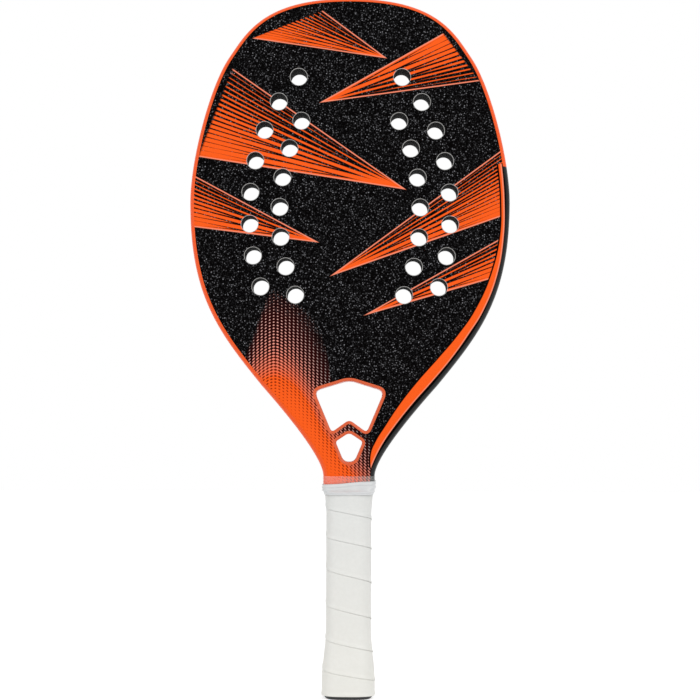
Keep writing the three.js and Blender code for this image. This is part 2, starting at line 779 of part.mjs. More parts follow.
const carbon = { color: 0x1a1a1c, roughness: 0.45, metalness: 0.1 };
const printed = { color: 0x151515, roughness: 0.6, metalness: 0 };
const foam = { color: 0x2a2a2c, roughness: 0.9, metalness: 0 };
const orange = { color: 0xff611f, roughness: 0.45, metalness: 0 };
const urethane = { color: 0xc9b98c, roughness: 0.8, metalness: 0 };
const blackPlastic = { color: 0x101010, roughness: 0.5, metalness: 0 };
const steel = { color: 0xb8b8bc, roughness: 0.3, metalness: 1 };
const whiteWrap = { color: 0xe8e8e4, roughness: 0.6, metalness: 0 };
const clearFilm = { color: 0xdcdcdc, roughness: 0.2, metalness: 0 };
const paleTape = { color: 0xd8d9dc, roughness: 0.5, metalness: 0 };

function piece(name, geometry, look, turned = false) {
  const mesh = new THREE.Mesh(geometry, new THREE.MeshStandardMaterial(look));
  mesh.name = name;
  mesh.rotation.z = turned ? Math.PI : 0;
  return mesh;
}

const upperMiddleZ = (bracePeakZ + bridgeUnderZ) / 2;
const lowerMiddleZ = (lowerFloorZ + lowerPeakZ) / 2;
const racket = new THREE.Group();
racket.add(
  piece('frame_tube', frameTube(), carbon),
  piece('foam_core', foamCore(), foam),
  piece('front_face', frontFace(), printed),
  piece('back_face', frontFace(), printed, true),
  piece('head_bridge', throatPiece(upperMiddleZ, wideZ), carbon),
  piece('throat_brace', throatPiece(lowerMiddleZ, upperMiddleZ), orange),
  piece('throat_block', throatPiece(0, lowerMiddleZ), orange),
  piece('handle_pallet_front', frontPallet(), urethane),
  piece('handle_pallet_back', frontPallet(), urethane, true),
  piece('butt_cap', buttCap(), blackPlastic),
  piece('staple_front', staple(0, 0), steel),
  piece('staple_back', staple(0, 0), steel, true),
  piece('grip_wrap', gripWrap(), whiteWrap),
  piece('neck_film', neckFilm(), clearFilm),
  piece('finishing_tape', finishingTape(), paleTape),
);

export default racket;
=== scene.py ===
# A beach tennis racket, made up in the order in which a maker puts it together. It is built round the packed
# solids, in metres, standing on its butt: +Z runs up the racket and the front face looks towards -Y.

import math
from contextlib import contextmanager

import bmesh
import bpy
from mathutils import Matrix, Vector


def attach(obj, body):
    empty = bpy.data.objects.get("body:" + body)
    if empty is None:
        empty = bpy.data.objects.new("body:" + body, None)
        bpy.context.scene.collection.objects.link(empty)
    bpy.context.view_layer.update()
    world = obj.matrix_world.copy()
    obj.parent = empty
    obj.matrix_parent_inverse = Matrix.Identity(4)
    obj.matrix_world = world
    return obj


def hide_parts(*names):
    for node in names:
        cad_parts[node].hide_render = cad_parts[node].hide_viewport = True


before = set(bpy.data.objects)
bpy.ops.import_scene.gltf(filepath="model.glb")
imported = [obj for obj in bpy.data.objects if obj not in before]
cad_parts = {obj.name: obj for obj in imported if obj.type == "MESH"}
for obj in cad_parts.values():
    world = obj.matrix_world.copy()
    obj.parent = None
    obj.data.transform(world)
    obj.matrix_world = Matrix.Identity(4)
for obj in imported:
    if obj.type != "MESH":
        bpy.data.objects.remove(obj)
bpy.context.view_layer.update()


# Frame tube. One hollow moulding of carbon laminate loops round the head, forms both sides of the throat and
# runs down inside the handle as two legs. The mould rounds its rim, which is sprayed in two gloss paints:
# orange on the left and over the crown, black down the right.

MM = 0.001
CROWN_Z = 500.0
SHOULDER = Vector((86.9, 457.3))
WIDEST = Vector((114.3, 353.5))
FLANK = Vector((62.9, 222.6))
NECK = Vector((18.3, 157.8))
COLLAR_TOP = Vector((18.3, 150.8))
COLLAR_BOTTOM = Vector((12.0, 144.8))
CROWN_REACH_SHARE = 0.717  # of the way out to the shoulder, as far as the crown's curve sets out level
SHOULDER_WAY = Vector((-0.676, 1.0)).normalized()  # which way the outline runs there
SHOULDER_UP, SHOULDER_DOWN = 21.52, 25.12  # from a place on the outline to the handles of its curves
WIDEST_UP, WIDEST_DOWN = 29.89, 66.89
FLANK_WAY = Vector((0.819, 1.0)).normalized()
FLANK_UP, FLANK_DOWN = 48.96, 5.18
NECK_UP = 15.75
LEG_END_Z = 12.0
LEG_HALF_THICKNESS = 8.5
HALF_LEG_GAP = 2.0
SEAT_Y = 10.0  # the frame's flat sides, which the laminates lie on
RIM_BAND = 5.5  # half the straight band round the rim
RIM_RISE = 5.5  # from that band to the face
RIM_REACH = 5.0  # how far the rounding reaches in from the edge
RIM_RINGS, RIM_TURN = 6, 9.15  # rings of the frame's part of the rounding, and the degrees between them
TUBE_WIDTH = 12.0
TUBE_WALL = 1.6
CORE_BOTTOM_Z = 238.5
CORE_SIDE_DOWN = 64.4  # how far its curve holds straight down at the side
CORE_FLOOR_SHARE = 0.6  # of its half width, where that curve is level again
VEE_FOOT_Z = 163.6  # where the two legs part
VEE_TOP_X = 33.4  # half the space between them at the core's bottom
VEE_SLOPE = (VEE_TOP_X - HALF_LEG_GAP) / (CORE_BOTTOM_Z - VEE_FOOT_Z)
OUTLINE_STEPS, CORE_STEPS = 34, 60
PAINT_CHANGE_Z = 379.0  # the black paint ends here on the right
THROAT_PAINT_TOP_Z = 236.0
THROAT_PAINT_SLACK = 0.4
OVERRUN = 5.0  # of a cutter past what it cuts
WELD = 1e-7  # two points nearer than this, in metres, are one
ORANGE = (0.93, 0.105, 0.012)
WORN_ORANGE = (0.86, 0.085, 0.01)
BLACK = (0.006, 0.006, 0.0065)
THROAT_ORANGE = (0.72, 0.11, 0.028)
THROAT_RUST = (0.58, 0.085, 0.025)


def bezier(start, first, second, end, steps=OUTLINE_STEPS):
    """Points along a curve, its start left out."""
    points = []
    for i in range(1, steps + 1):
        t = i / steps
        u = 1 - t
        points.append(start * u**3 + first * (3 * u * u * t) + second * (3 * u * t * t) + end * t**3)
    return points


def head_half():
    """Right half of the head's outline, from the crown down to the widest place."""
    crown = Vector((0.0, CROWN_Z))
    level = Vector((SHOULDER.x * CROWN_REACH_SHARE, CROWN_Z))
    over = bezier(crown, level, SHOULDER + SHOULDER_WAY * SHOULDER_UP, SHOULDER)
    down = SHOULDER - SHOULDER_WAY * SHOULDER_DOWN
    return [crown, *over, *bezier(SHOULDER, down, WIDEST + Vector((0, WIDEST_UP)), WIDEST)]


def throat_half():
    """And on down the flank to the neck."""
    down = WIDEST - Vector((0, WIDEST_DOWN))
    flank = bezier(WIDEST, down, FLANK + FLANK_WAY * FLANK_UP, FLANK)
    return flank + bezier(FLANK, FLANK - FLANK_WAY * FLANK_DOWN, NECK + Vector((0, NECK_UP)), NECK)


def mitred(point, way_in, way_out, distance):
    """A corner of an outline moved to the right of the way it runs, so that both its sides move that far."""
    way = (way_in + way_out).normalized()
    reach = distance / max(0.5, way.dot(way_in))
    return Vector((point.x + way.y * reach, point.y - way.x * reach))


def drawn_in(points, distance):
    """A half outline moved in by a distance. It starts on the centre line, next to its mirror image."""
    moved = []
    for i, point in enumerate(points):
        before = points[i - 1] if i else Vector((-points[1].x, points[1].y))
        way_in = (point - before).normalized()
        way_out = (points[i + 1] - point).normalized() if i + 1 < len(points) else way_in
        moved.append(mitred(point, way_in, way_out, distance))
    return moved


def flipped(points):
    return [Vector((-point.x, point.y)) for point in points]


def both_sides(right):
    """An outline from its right half, which starts on the centre line."""
    return [*flipped(right)[::-1], *right[1:]]


def vee_half(z):
    return HALF_LEG_GAP + (z - VEE_FOOT_Z) * VEE_SLOPE


def core_lower():
    """The core's lower edge, from its widest place to the centre line."""
    side = WIDEST.x - TUBE_WIDTH
    first = Vector((side, WIDEST.y - CORE_SIDE_DOWN))
    second = Vector((side * CORE_FLOOR_SHARE, CORE_BOTTOM_Z))
    return bezier(Vector((side, WIDEST.y)), first, second, Vector((0, CORE_BOTTOM_Z)), CORE_STEPS)


def split_at_vee(inset):
    """The lower edge of the core, parted where it meets the throat's straight edge."""
    points = core_lower()
    over = [point.x - vee_half(point.y) + inset for point in points]
    index = next(i for i, gap in enumerate(over) if gap < 0)
    share = over[index - 1] / (over[index - 1] - over[index])
    return points[:index], points[index - 1].lerp(points[index], share), points[index:]


def hairpin(outer_inset, inner_inset, end_z):
    """The closed outline of the whole tube, seen from the front."""
    leg = [COLLAR_TOP, COLLAR_BOTTOM, Vector((COLLAR_BOTTOM.x, end_z))]
    outer = drawn_in([*head_half(), *throat_half(), *leg], outer_inset)
    outside, meeting, _ = split_at_vee(0)
    slot = [Vector((HALF_LEG_GAP, z)) for z in (VEE_FOOT_Z, COLLAR_TOP.y, COLLAR_BOTTOM.y, end_z)]
    inner = drawn_in([*drawn_in(head_half(), TUBE_WIDTH), *outside, meeting, *slot], inner_inset)
    return [*both_sides(outer), *inner[1:][::-1], *flipped(inner)]


def rim_inset(y):
    rise = max(0.0, abs(y) - RIM_BAND) / RIM_RISE
    return RIM_REACH * (1 - math.sqrt(max(0.0, 1 - rise * rise)))


def placed(name, data):
    """An object in the scene."""
    holder = bpy.data.objects.new(name, data)
    bpy.context.scene.collection.objects.link(holder)
    return holder


@contextmanager
def opened(mesh):
    """A mesh open for changes, and closed again after them."""
    body = bmesh.new()
    body.from_mesh(mesh)
    yield body
    body.to_mesh(mesh)
    body.free()


def piece_of(name, points, faces, finishes=(), finish_of=None):
    """A closed body from points in millimetres, its faces turned outwards."""
    mesh = bpy.data.meshes.new(name)
    mesh.from_pydata([Vector(point) * MM for point in points], [], faces)
    for material in finishes:
        mesh.materials.append(material)
    if finish_of:
        for face in mesh.polygons:
            face.material_index = finish_of(face.center / MM)
    with opened(mesh) as body:
        bmesh.ops.remove_doubles(body, verts=body.verts, dist=WELD)
        bmesh.ops.recalc_face_normals(body, faces=body.faces)
    return placed(name, mesh)


def skinned(rings):
    """Points and faces of a body through rings of points."""
    points = [point for ring in rings for point in ring]
    count = len(rings[0])
    faces = [tuple(range(count)), tuple(range(len(points) - count, len(points)))]
    for start in range(0, len(points) - count, count):
        for i in range(count):
            j = (i + 1) % count
            faces.append((start + i, start + count + i, start + count + j, start + j))
    return points, faces


def stacked(loops):
    """The same through outlines seen from the front, given as (depth, outline) from front to back."""
    return skinned([[(point.x, y, point.y) for point in loop] for y, loop in loops])


def settle(piece):
    """Turns what a piece's modifiers make of it into its own plain mesh."""
    shown = piece.evaluated_get(bpy.context.evaluated_depsgraph_get())
    mesh = bpy.data.meshes.new_from_object(shown)
    piece.modifiers.clear()
    piece.data = mesh
    mesh.name = piece.name


def cut(piece, tool, operation="DIFFERENCE"):
    """Cuts a piece with a tool, which is used up."""
    step =piece.modifiers.new("cut", "BOOLEAN")
    step.operation = operation
    step.solver = "EXACT"
    step.object = tool
    settle(piece)
    bpy.data.objects.remove(tool)


def smooth(piece, sharp_degrees=32):
    """Rounds the shading of curved walls and leaves flat faces flat."""
    piece.data.shade_smooth()
    piece.data.set_sharp_from_angle(angle=math.radians(sharp_degrees))
    step = piece.modifiers.new("flat", "WEIGHTED_NORMAL")
    step.keep_sharp = True
    settle(piece)


def fitted(piece, node):
    """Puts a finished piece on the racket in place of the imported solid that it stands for."""
    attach(piece, "root")
    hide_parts(node)


def bend(mapping, points):
    """Gives a curve node its points, each from 0 to 1 both ways."""
    line = mapping.curves[0].points
    for _ in range(len(points) - 2):
        line.new(0.5, 0.5)
    for point, place in zip(line, points):
        point.location = place
    mapping.update()


class Value:
    """A number that varies over a surface or a body. Python's operators on it add Math nodes."""

    def __init__(self, nodes, socket):
        self.nodes = nodes
        self.socket = socket

    def math(self, operation, *others, **settings):
        return self.nodes.add("ShaderNodeMath", {"operation": operation, **settings}, [self, *others])

    def __add__(self, other):
        return self.math("ADD", other)

    def __sub__(self, other):
        return self.math("SUBTRACT", other)

    def __rsub__(self, other):
        return self.nodes.add("ShaderNodeMath", {"operation": "SUBTRACT"}, [other, self])

    def __mul__(self, other):
        return self.math("MULTIPLY", other)

    def __truediv__(self, other):
        return self.math("DIVIDE", other)

    def __rtruediv__(self, other):
        return self.nodes.add("ShaderNodeMath", {"operation": "DIVIDE"}, [other, self])

    def __abs__(self):
        return self.math("ABSOLUTE")

    def __pow__(self, other):
        return self.math("POWER", other)

    def __gt__(self, other):
        return self.math("GREATER_THAN", other)

    def __lt__(self, other):
        return self.math("LESS_THAN", other)

    def __mod__(self, other):
        return self.math("FLOORED_MODULO", other)

    def clamped(self):
        return self.math("ADD", 0.0, use_clamp=True)

    def root(self):
        return self.math("SQRT")

    def wave(self):
        """A wave from -1 to 1 with one crest at every whole number."""
        return (self * (2 * math.pi)).math("COSINE")

    def edge(self, softness):
        """1 where the value is over zero and 0 where it is under, with an edge that soft."""
        return self.math("MULTIPLY_ADD", 1.0 / softness, 0.5, use_clamp=True)

    def least(self, other):
        return self.math("MINIMUM", other)

    def most(self, other):
        return self.math("MAXIMUM", other)


class Nodes:
    """A node tree, for a finish or for a body."""

    def __init__(self, tree):
        self.tree = tree

    def add(self, kind, settings=None, inputs=(), output=0):
        """Adds a node: its settings first, then the values or links of its sockets, by place or by name."""
        node = self.tree.nodes.new(kind)
        for name, setting in (settings or {}).items():
            if name == "curve":
                bend(node.mapping, setting)
            else:
                setattr(node, name, setting)
        named = inputs.items() if isinstance(inputs, dict) else enumerate(inputs)
        for key, value in named:
            for one in value if isinstance(value, list) else [value]:
                if isinstance(one, Value):
                    self.tree.links.new(one.socket, node.inputs[key])
                else:
                    node.inputs[key].default_value = one
        return Value(self, node.outputs[output])

    def mixed(self, share, first, second):
        """One colour over another."""
        inputs = {0: share, 6: self.colour(first), 7: self.colour(second)}
        return self.add("ShaderNodeMix", {"data_type": "RGBA"}, inputs, output=2)

    def colour(self, value):
        return value if isinstance(value, Value) else (*value, 1.0)

    def vector(self, x=0.0, y=0.0, z=0.0):
        return self.add("ShaderNodeCombineXYZ", {}, [x, y, z])

    def parts(self, vector):
        """A vector's three parts."""
        separated = self.add("ShaderNodeSeparateXYZ", {}, [vector]).socket.node
        return [Value(self, part) for part in separated.outputs]

    def place(self):
        """Across the racket, through it and up it, in millimetres."""
        return [part * (1 / MM) for part in self.parts(self.add("ShaderNodeTexCoord", output="Object"))]

    def grain(self, size, detail=2.0, stretch=(1, 1, 1)):
        """Noise whose features are about that many millimetres across."""
        where = self.add("ShaderNodeTexCoord", output="Object")
        scaled = self.add("ShaderNodeMapping", {}, {"Vector": where, "Scale": stretch})
        inputs = {"Vector": scaled, "Scale": 1 / (size * MM), "Detail": detail}
        return self.add("ShaderNodeTexNoise", {}, inputs)

    def cells(self, size, output="Distance"):
        """How far a place is from the middle of its cell, or that cell's own random colour."""
        where = self.add("ShaderNodeTexCoord", output="Object")
        return self.add("ShaderNodeTexVoronoi", {}, {"Vector": where, "Scale": 1 / (size * MM)}, output)

    def bump(self, height, depth):
        """Relief that many millimetres deep."""
        return self.add("ShaderNodeBump", {}, {"Distance": depth * MM, "Height": height})


def finish(name, make, **sockets):
    """A material. Its maker gives the sockets that vary, and the constants are set on the shader itself."""
    material = bpy.data.materials.new(name)
    material.use_nodes = True
    nodes = Nodes(material.node_tree)
    shader = material.node_tree.nodes["Principled BSDF"]
    for key, value in {**make(nodes), **sockets}.items():
        socket = shader.inputs[key.replace("_", " ")]
        if isinstance(value, Value):
            material.node_tree.links.new(value.socket, socket)
        elif key.endswith("Color"):
            socket.default_value = (*value, 1.0)
        else:
            socket.default_value = value
    return material


def rim_paint_maker(nodes):
    x, _, z = nodes.place()
    black = x.edge(0.4) * (PAINT_CHANGE_Z - z).edge(0.4)
    orange = nodes.mixed(nodes.grain(9.0, 3.0) * 0.25, ORANGE, WORN_ORANGE)
    return {
        "Base_Color": nodes.mixed(black, orange, BLACK),
        "Roughness": nodes.grain(2.2, 3.0) * 0.14 + 0.24,
        "Normal": nodes.bump(nodes.grain(0.9, 2.0), 0.012),
    }


def throat_paint_maker(nodes):
    return {
        "Base_Color": nodes.mixed(nodes.grain(6.0, 3.0) * 0.5, THROAT_ORANGE, THROAT_RUST),
        "Roughness": nodes.grain(2.0, 3.0) * 0.16 + 0.3,
        "Normal": nodes.bump(nodes.grain(0.8, 2.0), 0.015),
    }


def waisted(piece, full, thin):
    """Thins the legs below the collar."""
    with opened(piece.data) as body:
        for z in (COLLAR_TOP.y, COLLAR_BOTTOM.y):
            parts = [*body.verts, *body.edges, *body.faces]
            bmesh.ops.bisect_plane(body, geom=parts, dist=WELD, plane_co=(0, 0, z * MM), plane_no=(0, 0, 1))
        for vert in body.verts:
            share = (COLLAR_TOP.y - vert.co.z / MM) / (COLLAR_TOP.y - COLLAR_BOTTOM.y)
            vert.co.y *= 1 + min(1.0, max(0.0, share)) * (thin / full - 1)


def throat_wall(centre):
    """1 where a face of the frame looks into the throat, and 0 elsewhere."""
    return int(centre.z < THROAT_PAINT_TOP_Z and abs(centre.x) < vee_half(centre.z) + THROAT_PAINT_SLACK)


rim_paint = finish(
    "rim_paint", rim_paint_maker, Coat_Weight=0.06, Coat_Roughness=0.2, Specular_IOR_Level=0.16,
)
throat_paint = finish(
    "throat_paint", throat_paint_maker, Coat_Weight=0.1, Coat_Roughness=0.15, Specular_IOR_Level=0.3,
)

rim_depths = [RIM_BAND + RIM_RISE * math.sin(math.radians(RIM_TURN * i)) for i in range(RIM_RINGS)]
rim_depths.append(SEAT_Y)
depths = [-y for y in rim_depths[::-1]] + rim_depths
hollow_y = SEAT_Y - TUBE_WALL
hollow_depths = [-hollow_y, -RIM_BAND, RIM_BAND, hollow_y]

skin_loops = [(y, hairpin(rim_inset(y), 0.0, LEG_END_Z)) for y in depths]
frame_shell = piece_of("frame_shell", *stacked(skin_loops), [rim_paint, throat_paint], throat_wall)
waisted(frame_shell, SEAT_Y, LEG_HALF_THICKNESS)
bore_loops = [
    (y, hairpin(rim_inset(y) + TUBE_WALL, -TUBE_WALL, LEG_END_Z - OVERRUN)) for y in hollow_depths
]
bore = piece_of("bore", *stacked(bore_loops), [rim_paint])
waisted(bore, hollow_y, LEG_HALF_THICKNESS - TUBE_WALL)
cut(frame_shell, bore)
smooth(frame_shell)
fitted(frame_shell, "frame_tube")


# Foam core. A plate of dark closed-cell foam fills the head, and thirty holes are drilled through it and both
# laminates at once, in two rows a side that follow ellipses.

FIT_GAP = 0.3
HOLE_DIAMETER = 12.0
HOLE_SIDES = 48
ROW_CENTRE_Z = 345.0
ROWS = {
    "Outer": {"half width": 71.6, "half height": 113.8, "spacing": 22.8, "start": 59.0, "count": 8},
    "Inner": {"half width": 50.2, "half height": 91.8, "spacing": 21.4, "start": 46.0, "count": 7},
}
ROW_LENGTHS = ("half width", "half height", "spacing")
ARC_POINTS = 1440
RIM_ZONE, FACE_ZONE, HOLE_ZONE, OPENING_ZONE = range(4)
ZONE_FINISHES = ("Rim finish", "Face finish", "Hole finish", "Opening finish")
FOAM_BLACK = (0.005, 0.005, 0.0055)
FOAM_GREY = (0.026, 0.026, 0.027)


def new_tree(name, **sockets):
    """An empty Geometry Nodes tree: a body in, a body out, and the names of its inputs of each kind."""
    tree = bpy.data.node_groups.new(name, "GeometryNodeTree")
    tree.interface.new_socket(name="Body", in_out="OUTPUT", socket_type="NodeSocketGeometry")
    for kind, names in {"Geometry": ["Body"], **sockets}.items():
        for socket in names:
            tree.interface.new_socket(name=socket, in_out="INPUT", socket_type=f"NodeSocket{kind}")
    nodes = Nodes(tree)
    into = tree.nodes.new("NodeGroupInput")
    out = tree.nodes.new("NodeGroupOutput")
    return nodes, {s.name: Value(nodes, s) for s in into.outputs if s.name}, out.inputs[0]


def run_tree(piece, nodes, values):
    """Runs a tree on a piece with these values for its named inputs, and keeps the result as its mesh."""
    step = piece.modifiers.new(nodes.tree.name, "NODES")
    step.node_group = nodes.tree
    for item in nodes.tree.interface.items_tree:
        if item.in_out == "INPUT" and item.name in values:
            step[item.identifier] = values[item.name]
    settle(piece)


def shape_of(nodes, holder):
    return nodes.add("GeometryNodeObjectInfo", {}, {"Object": holder}, "Geometry")


def row_of_places(nodes, given, row):
    """Places spaced evenly along one ellipse, down the right side of the head."""
    arc = nodes.add("GeometryNodeCurveArc", {"mode": "RADIUS"}, {
        "Resolution": ARC_POINTS, "Radius": 1.0,
        "Start Angle": given[f"{row} start"] * (math.pi / 180), "Sweep Angle": -math.pi,
    })
    size = nodes.vector(given[f"{row} half width"], given[f"{row} half height"], 1.0)
    ellipse = nodes.add("GeometryNodeTransform", {}, {"Geometry": arc, "Scale": size})
    shift = nodes.vector(z=given["Row centre height"])
    upright = nodes.add("GeometryNodeTransform", {}, {
        "Geometry": ellipse, "Rotation": (math.pi / 2, 0, 0), "Translation": shift,
    })
    length = nodes.add("GeometryNodeInputIndex") * given[f"{row} spacing"]
    where = {"Curves": upright, "Length": length}
    sample = nodes.add("GeometryNodeSampleCurve", {"mode": "LENGTH"}, where, "Position")
    return nodes.add("GeometryNodePoints", {}, {"Count": given[f"{row} count"], "Position": sample})


def perforating_tree():
    """A plate drilled along its rows and cut by its openings, each face with the finish of its zone."""
    sizes = [f"{row} {size}" for row in ROWS for size in (*ROW_LENGTHS, "start")]
    nodes, given, out = new_tree(
        "perforations", Float=["Row centre height", *sizes], Int=[f"{row} count" for row in ROWS],
        Object=["Drill", "Opening cutter"], Material=ZONE_FINISHES,
    )
    rows = [row_of_places(nodes, given, row) for row in ROWS]
    right = nodes.add("GeometryNodeJoinGeometry", {}, {"Geometry": rows})
    left = nodes.add("GeometryNodeTransform", {}, {"Geometry": right, "Scale": (-1, 1, 1)})
    both = nodes.add("GeometryNodeJoinGeometry", {}, {"Geometry": [right, left]})
    spots = {"Points": both, "Instance": shape_of(nodes, given["Drill"])}
    drills = nodes.add("GeometryNodeInstanceOnPoints", {}, spots)
    drills = nodes.add("GeometryNodeRealizeInstances", {}, [drills])
    body = nodes.add("GeometryNodeMeshBoolean", {"operation": "DIFFERENCE", "solver": "EXACT"}, {
        "Mesh 1": given["Body"], "Mesh 2": [drills, shape_of(nodes, given["Opening cutter"])],
    })
    body = nodes.add("GeometryNodeRealizeInstances", {}, [body])
    zone = nodes.add("GeometryNodeInputNamedAttribute", {"data_type": "INT"}, {"Name": "zone"})
    same = {"data_type": "INT", "operation": "EQUAL"}
    for number, name in enumerate(ZONE_FINISHES):
        chosen = nodes.add("FunctionNodeCompare", same, {2: zone, 3: number})
        inputs = {"Geometry": body, "Selection": chosen, "Material": given[name]}
        body = nodes.add("GeometryNodeSetMaterial", {}, inputs)
    nodes.tree.links.new(body.socket, out)
    return nodes


def zoned(piece, zone_of):
    """Marks each face with the zone that its finish goes by."""
    marks = piece.data.attributes.new("zone", "INT", "FACE")
    for mark, face in zip(marks.data, piece.data.polygons):
        mark.value = zone_of(face.center / MM)
    return piece


def drill_of(name, profile):
    """A drill along the depth of the racket, from (depth, radius) pairs."""
    angles = [2 * math.pi * i / HOLE_SIDES for i in range(HOLE_SIDES)]
    rings = [[(radius * math.cos(a), y, radius * math.sin(a)) for a in angles] for y, radius in profile]
    return zoned(piece_of(name, *skinned(rings)), lambda centre: HOLE_ZONE)


def plate(name, outline, half_thickness, *finishes):
    """A flat plate, its outline seen from the front."""
    return piece_of(name, *stacked([(y, outline) for y in (-half_thickness, half_thickness)]), finishes)


def foam_maker(nodes):
    pores = nodes.cells(0.8)
    tone = nodes.grain(3.0, 2.0)
    return {
        "Base_Color": nodes.mixed(tone * pores.clamped(), FOAM_BLACK, FOAM_GREY),
        "Roughness": tone * 0.15 + 0.8,
        "Normal": nodes.bump(pores, 0.12),
    }


foam = finish("eva_foam", foam_maker, Specular_IOR_Level=0.15)
perforations = perforating_tree()
row_sizes = {"Row centre height": ROW_CENTRE_Z * MM}
for row, sizes in ROWS.items():
    for size, value in sizes.items():
        row_sizes[f"{row} {size}"] = value * MM if size in ROW_LENGTHS else value

core_half = [*drawn_in(head_half(), TUBE_WIDTH), *core_lower()[:-1]]
core_right = [*drawn_in(core_half, FIT_GAP), Vector((0, CORE_BOTTOM_Z + FIT_GAP))]
core = zoned(plate("drilled_core", both_sides(core_right)[:-1], SEAT_Y, foam), lambda centre: FACE_ZONE)
hole_radius = HOLE_DIAMETER / 2
drill_end = SEAT_Y + OVERRUN
straight_drill = drill_of("straight_drill", [(-drill_end, hole_radius), (drill_end, hole_radius)])
run_tree(core, perforations, {
    **row_sizes, "Drill": straight_drill, "Face finish": foam, "Hole finish": foam,
})
bpy.data.objects.remove(straight_drill)
smooth(core)
fitted(core, "foam_core")


# Throat. A bridge closes the bottom of the head, a chevron braces the legs between two openings, and a wedge
# with a tail fills the foot. They are moulded with the frame, and the openings' walls are sprayed orange.

BRIDGE_UNDER_Z = 226.2
BRIDGE_DROP = 7.7
BRACE_PEAK_Z = 198.0
BRACE_DROP = 9.1
LOWER_PEAK_Z = 188.7
LOWER_DROP = 6.5
LOWER_FLOOR_Z = 167.9
BRIDGE_RADIUS, BIG_RADIUS, PEAK_RADIUS, SMALL_RADIUS, FOOT_RADIUS = 16.0, 4.5, 4.5, 2.5, 5.43
CORNER_STEPS = 10


def rounded(corners):
    """A loop of corners, each given as (place, radius), with every corner rounded."""
    loop = []
    for i, (at, radius) in enumerate(corners):
        to_before = (corners[i - 1][0] - at).normalized()
        to_after = (corners[(i + 1) % len(corners)][0] - at).normalized()
        reach = radius / math.tan(to_before.angle(to_after) / 2)
        start = at + to_before * reach
        end = at + to_after * reach
        for k in range(CORNER_STEPS + 1):
            t = k / CORNER_STEPS
            loop.append(start * (1 - t) ** 2 + at * (2 * t * (1 - t)) + end * t * t)
    return loop


def on_vee(side, z, radius):
    return Vector((side * vee_half(z), z)), radius


def grown(loop, distance):
    """A closed loop moved outwards, given anticlockwise."""
    moved = []
    for i, point in enumerate(loop):
        way_in = (point - loop[i - 1]).normalized()
        way_out = (loop[(i + 1) % len(loop)] - point).normalized()
        moved.append(mitred(point, way_in, way_out, distance))
    return moved


upper_opening = rounded([
    (Vector((0, BRIDGE_UNDER_Z)), BRIDGE_RADIUS),
    on_vee(-1, BRIDGE_UNDER_Z - BRIDGE_DROP, BIG_RADIUS),
    on_vee(-1, BRACE_PEAK_Z - BRACE_DROP, SMALL_RADIUS),
    (Vector((0, BRACE_PEAK_Z)), PEAK_RADIUS),
    on_vee(1, BRACE_PEAK_Z - BRACE_DROP, SMALL_RADIUS),
    on_vee(1, BRIDGE_UNDER_Z - BRIDGE_DROP, BIG_RADIUS),
])
lower_opening = rounded([
    (Vector((0, LOWER_PEAK_Z)), PEAK_RADIUS),
    on_vee(-1, LOWER_PEAK_Z - LOWER_DROP, SMALL_RADIUS),
    on_vee(-1, LOWER_FLOOR_Z, FOOT_RADIUS),
    on_vee(1, LOWER_FLOOR_Z, FOOT_RADIUS),
    on_vee(1, LOWER_PEAK_Z - LOWER_DROP, SMALL_RADIUS),
])


def throat_piece(name, low_z, high_z, node):
    """What fills the throat between two heights, all but its openings."""
    _, meeting, inside = split_at_vee(FIT_GAP * math.hypot(1, VEE_SLOPE))
    tail = [Vector((HALF_LEG_GAP - FIT_GAP, z)) for z in (VEE_FOOT_Z, COLLAR_TOP.y)]
    piece = plate(name, both_sides([*inside[::-1], meeting, *tail]), SEAT_Y, throat_paint)
    right, cutter_y = WIDEST.x, SEAT_Y + OVERRUN
    band = [Vector(corner) for corner in ((-right, low_z), (right, low_z), (right, high_z), (-right, high_z))]
    cut(piece, plate("band", band, cutter_y), "INTERSECT")
    for opening in (upper_opening, lower_opening):
        cut(piece, plate("opening", opening, cutter_y))
    smooth(piece)
    fitted(piece, node)


upper_middle_z = (BRACE_PEAK_Z + BRIDGE_UNDER_Z) / 2
lower_middle_z = (LOWER_FLOOR_Z + LOWER_PEAK_Z) / 2
throat_piece("bridge", upper_middle_z, WIDEST.y, "head_bridge")
throat_piece("chevron_brace", lower_middle_z, upper_middle_z, "throat_brace")
throat_piece("throat_wedge", 0.0, lower_middle_z, "throat_block")


# Front and back laminates. Each is a sheet of carbon and glass 1 mm thick, moulded over core, frame and
# throat. Its edge rounds over into the rim, it is drilled with the core, and its gritty face is printed.

FACE_Y = 11.0
LAMINATE_DEPTHS = (SEAT_Y, 10.29, 10.54, 10.73, 10.88, 10.97, FACE_Y)
PAINT_EDGE_Y = 10.54  # the rim's paint goes up the rounding as far as this
HOLE_BREAK = 0.4  # the drilled edge is broken by this much
FLARE_REACH = 2.1  # rounding round the two openings
FLARE_DEPTH = 0.95
FLARE_STEPS = 8
SHEET_OVERRUN = 1.0  # of its cutters
PRINT_BLACK = (0.0006, 0.0003, 0.0004)
PRINT_ORANGE = (0.95, 0.112, 0.013)
SALMON = (0.95, 0.27, 0.16)
# grey of the painted glints and sheen on the black print
GLINT_GREY = (0.30, 0.30, 0.32)
PINK_DOT = (0.78, 0.42, 0.36)
GREY_DOT = (0.34, 0.29, 0.28)
UNDER_DARK = (0.022, 0.002, 0.002)  # between the dots
UNDER_ORANGE = (0.58, 0.052, 0.005)
CUT_FOAM = (0.006, 0.006, 0.0065)
CUT_GLASS = (0.60, 0.59, 0.57)
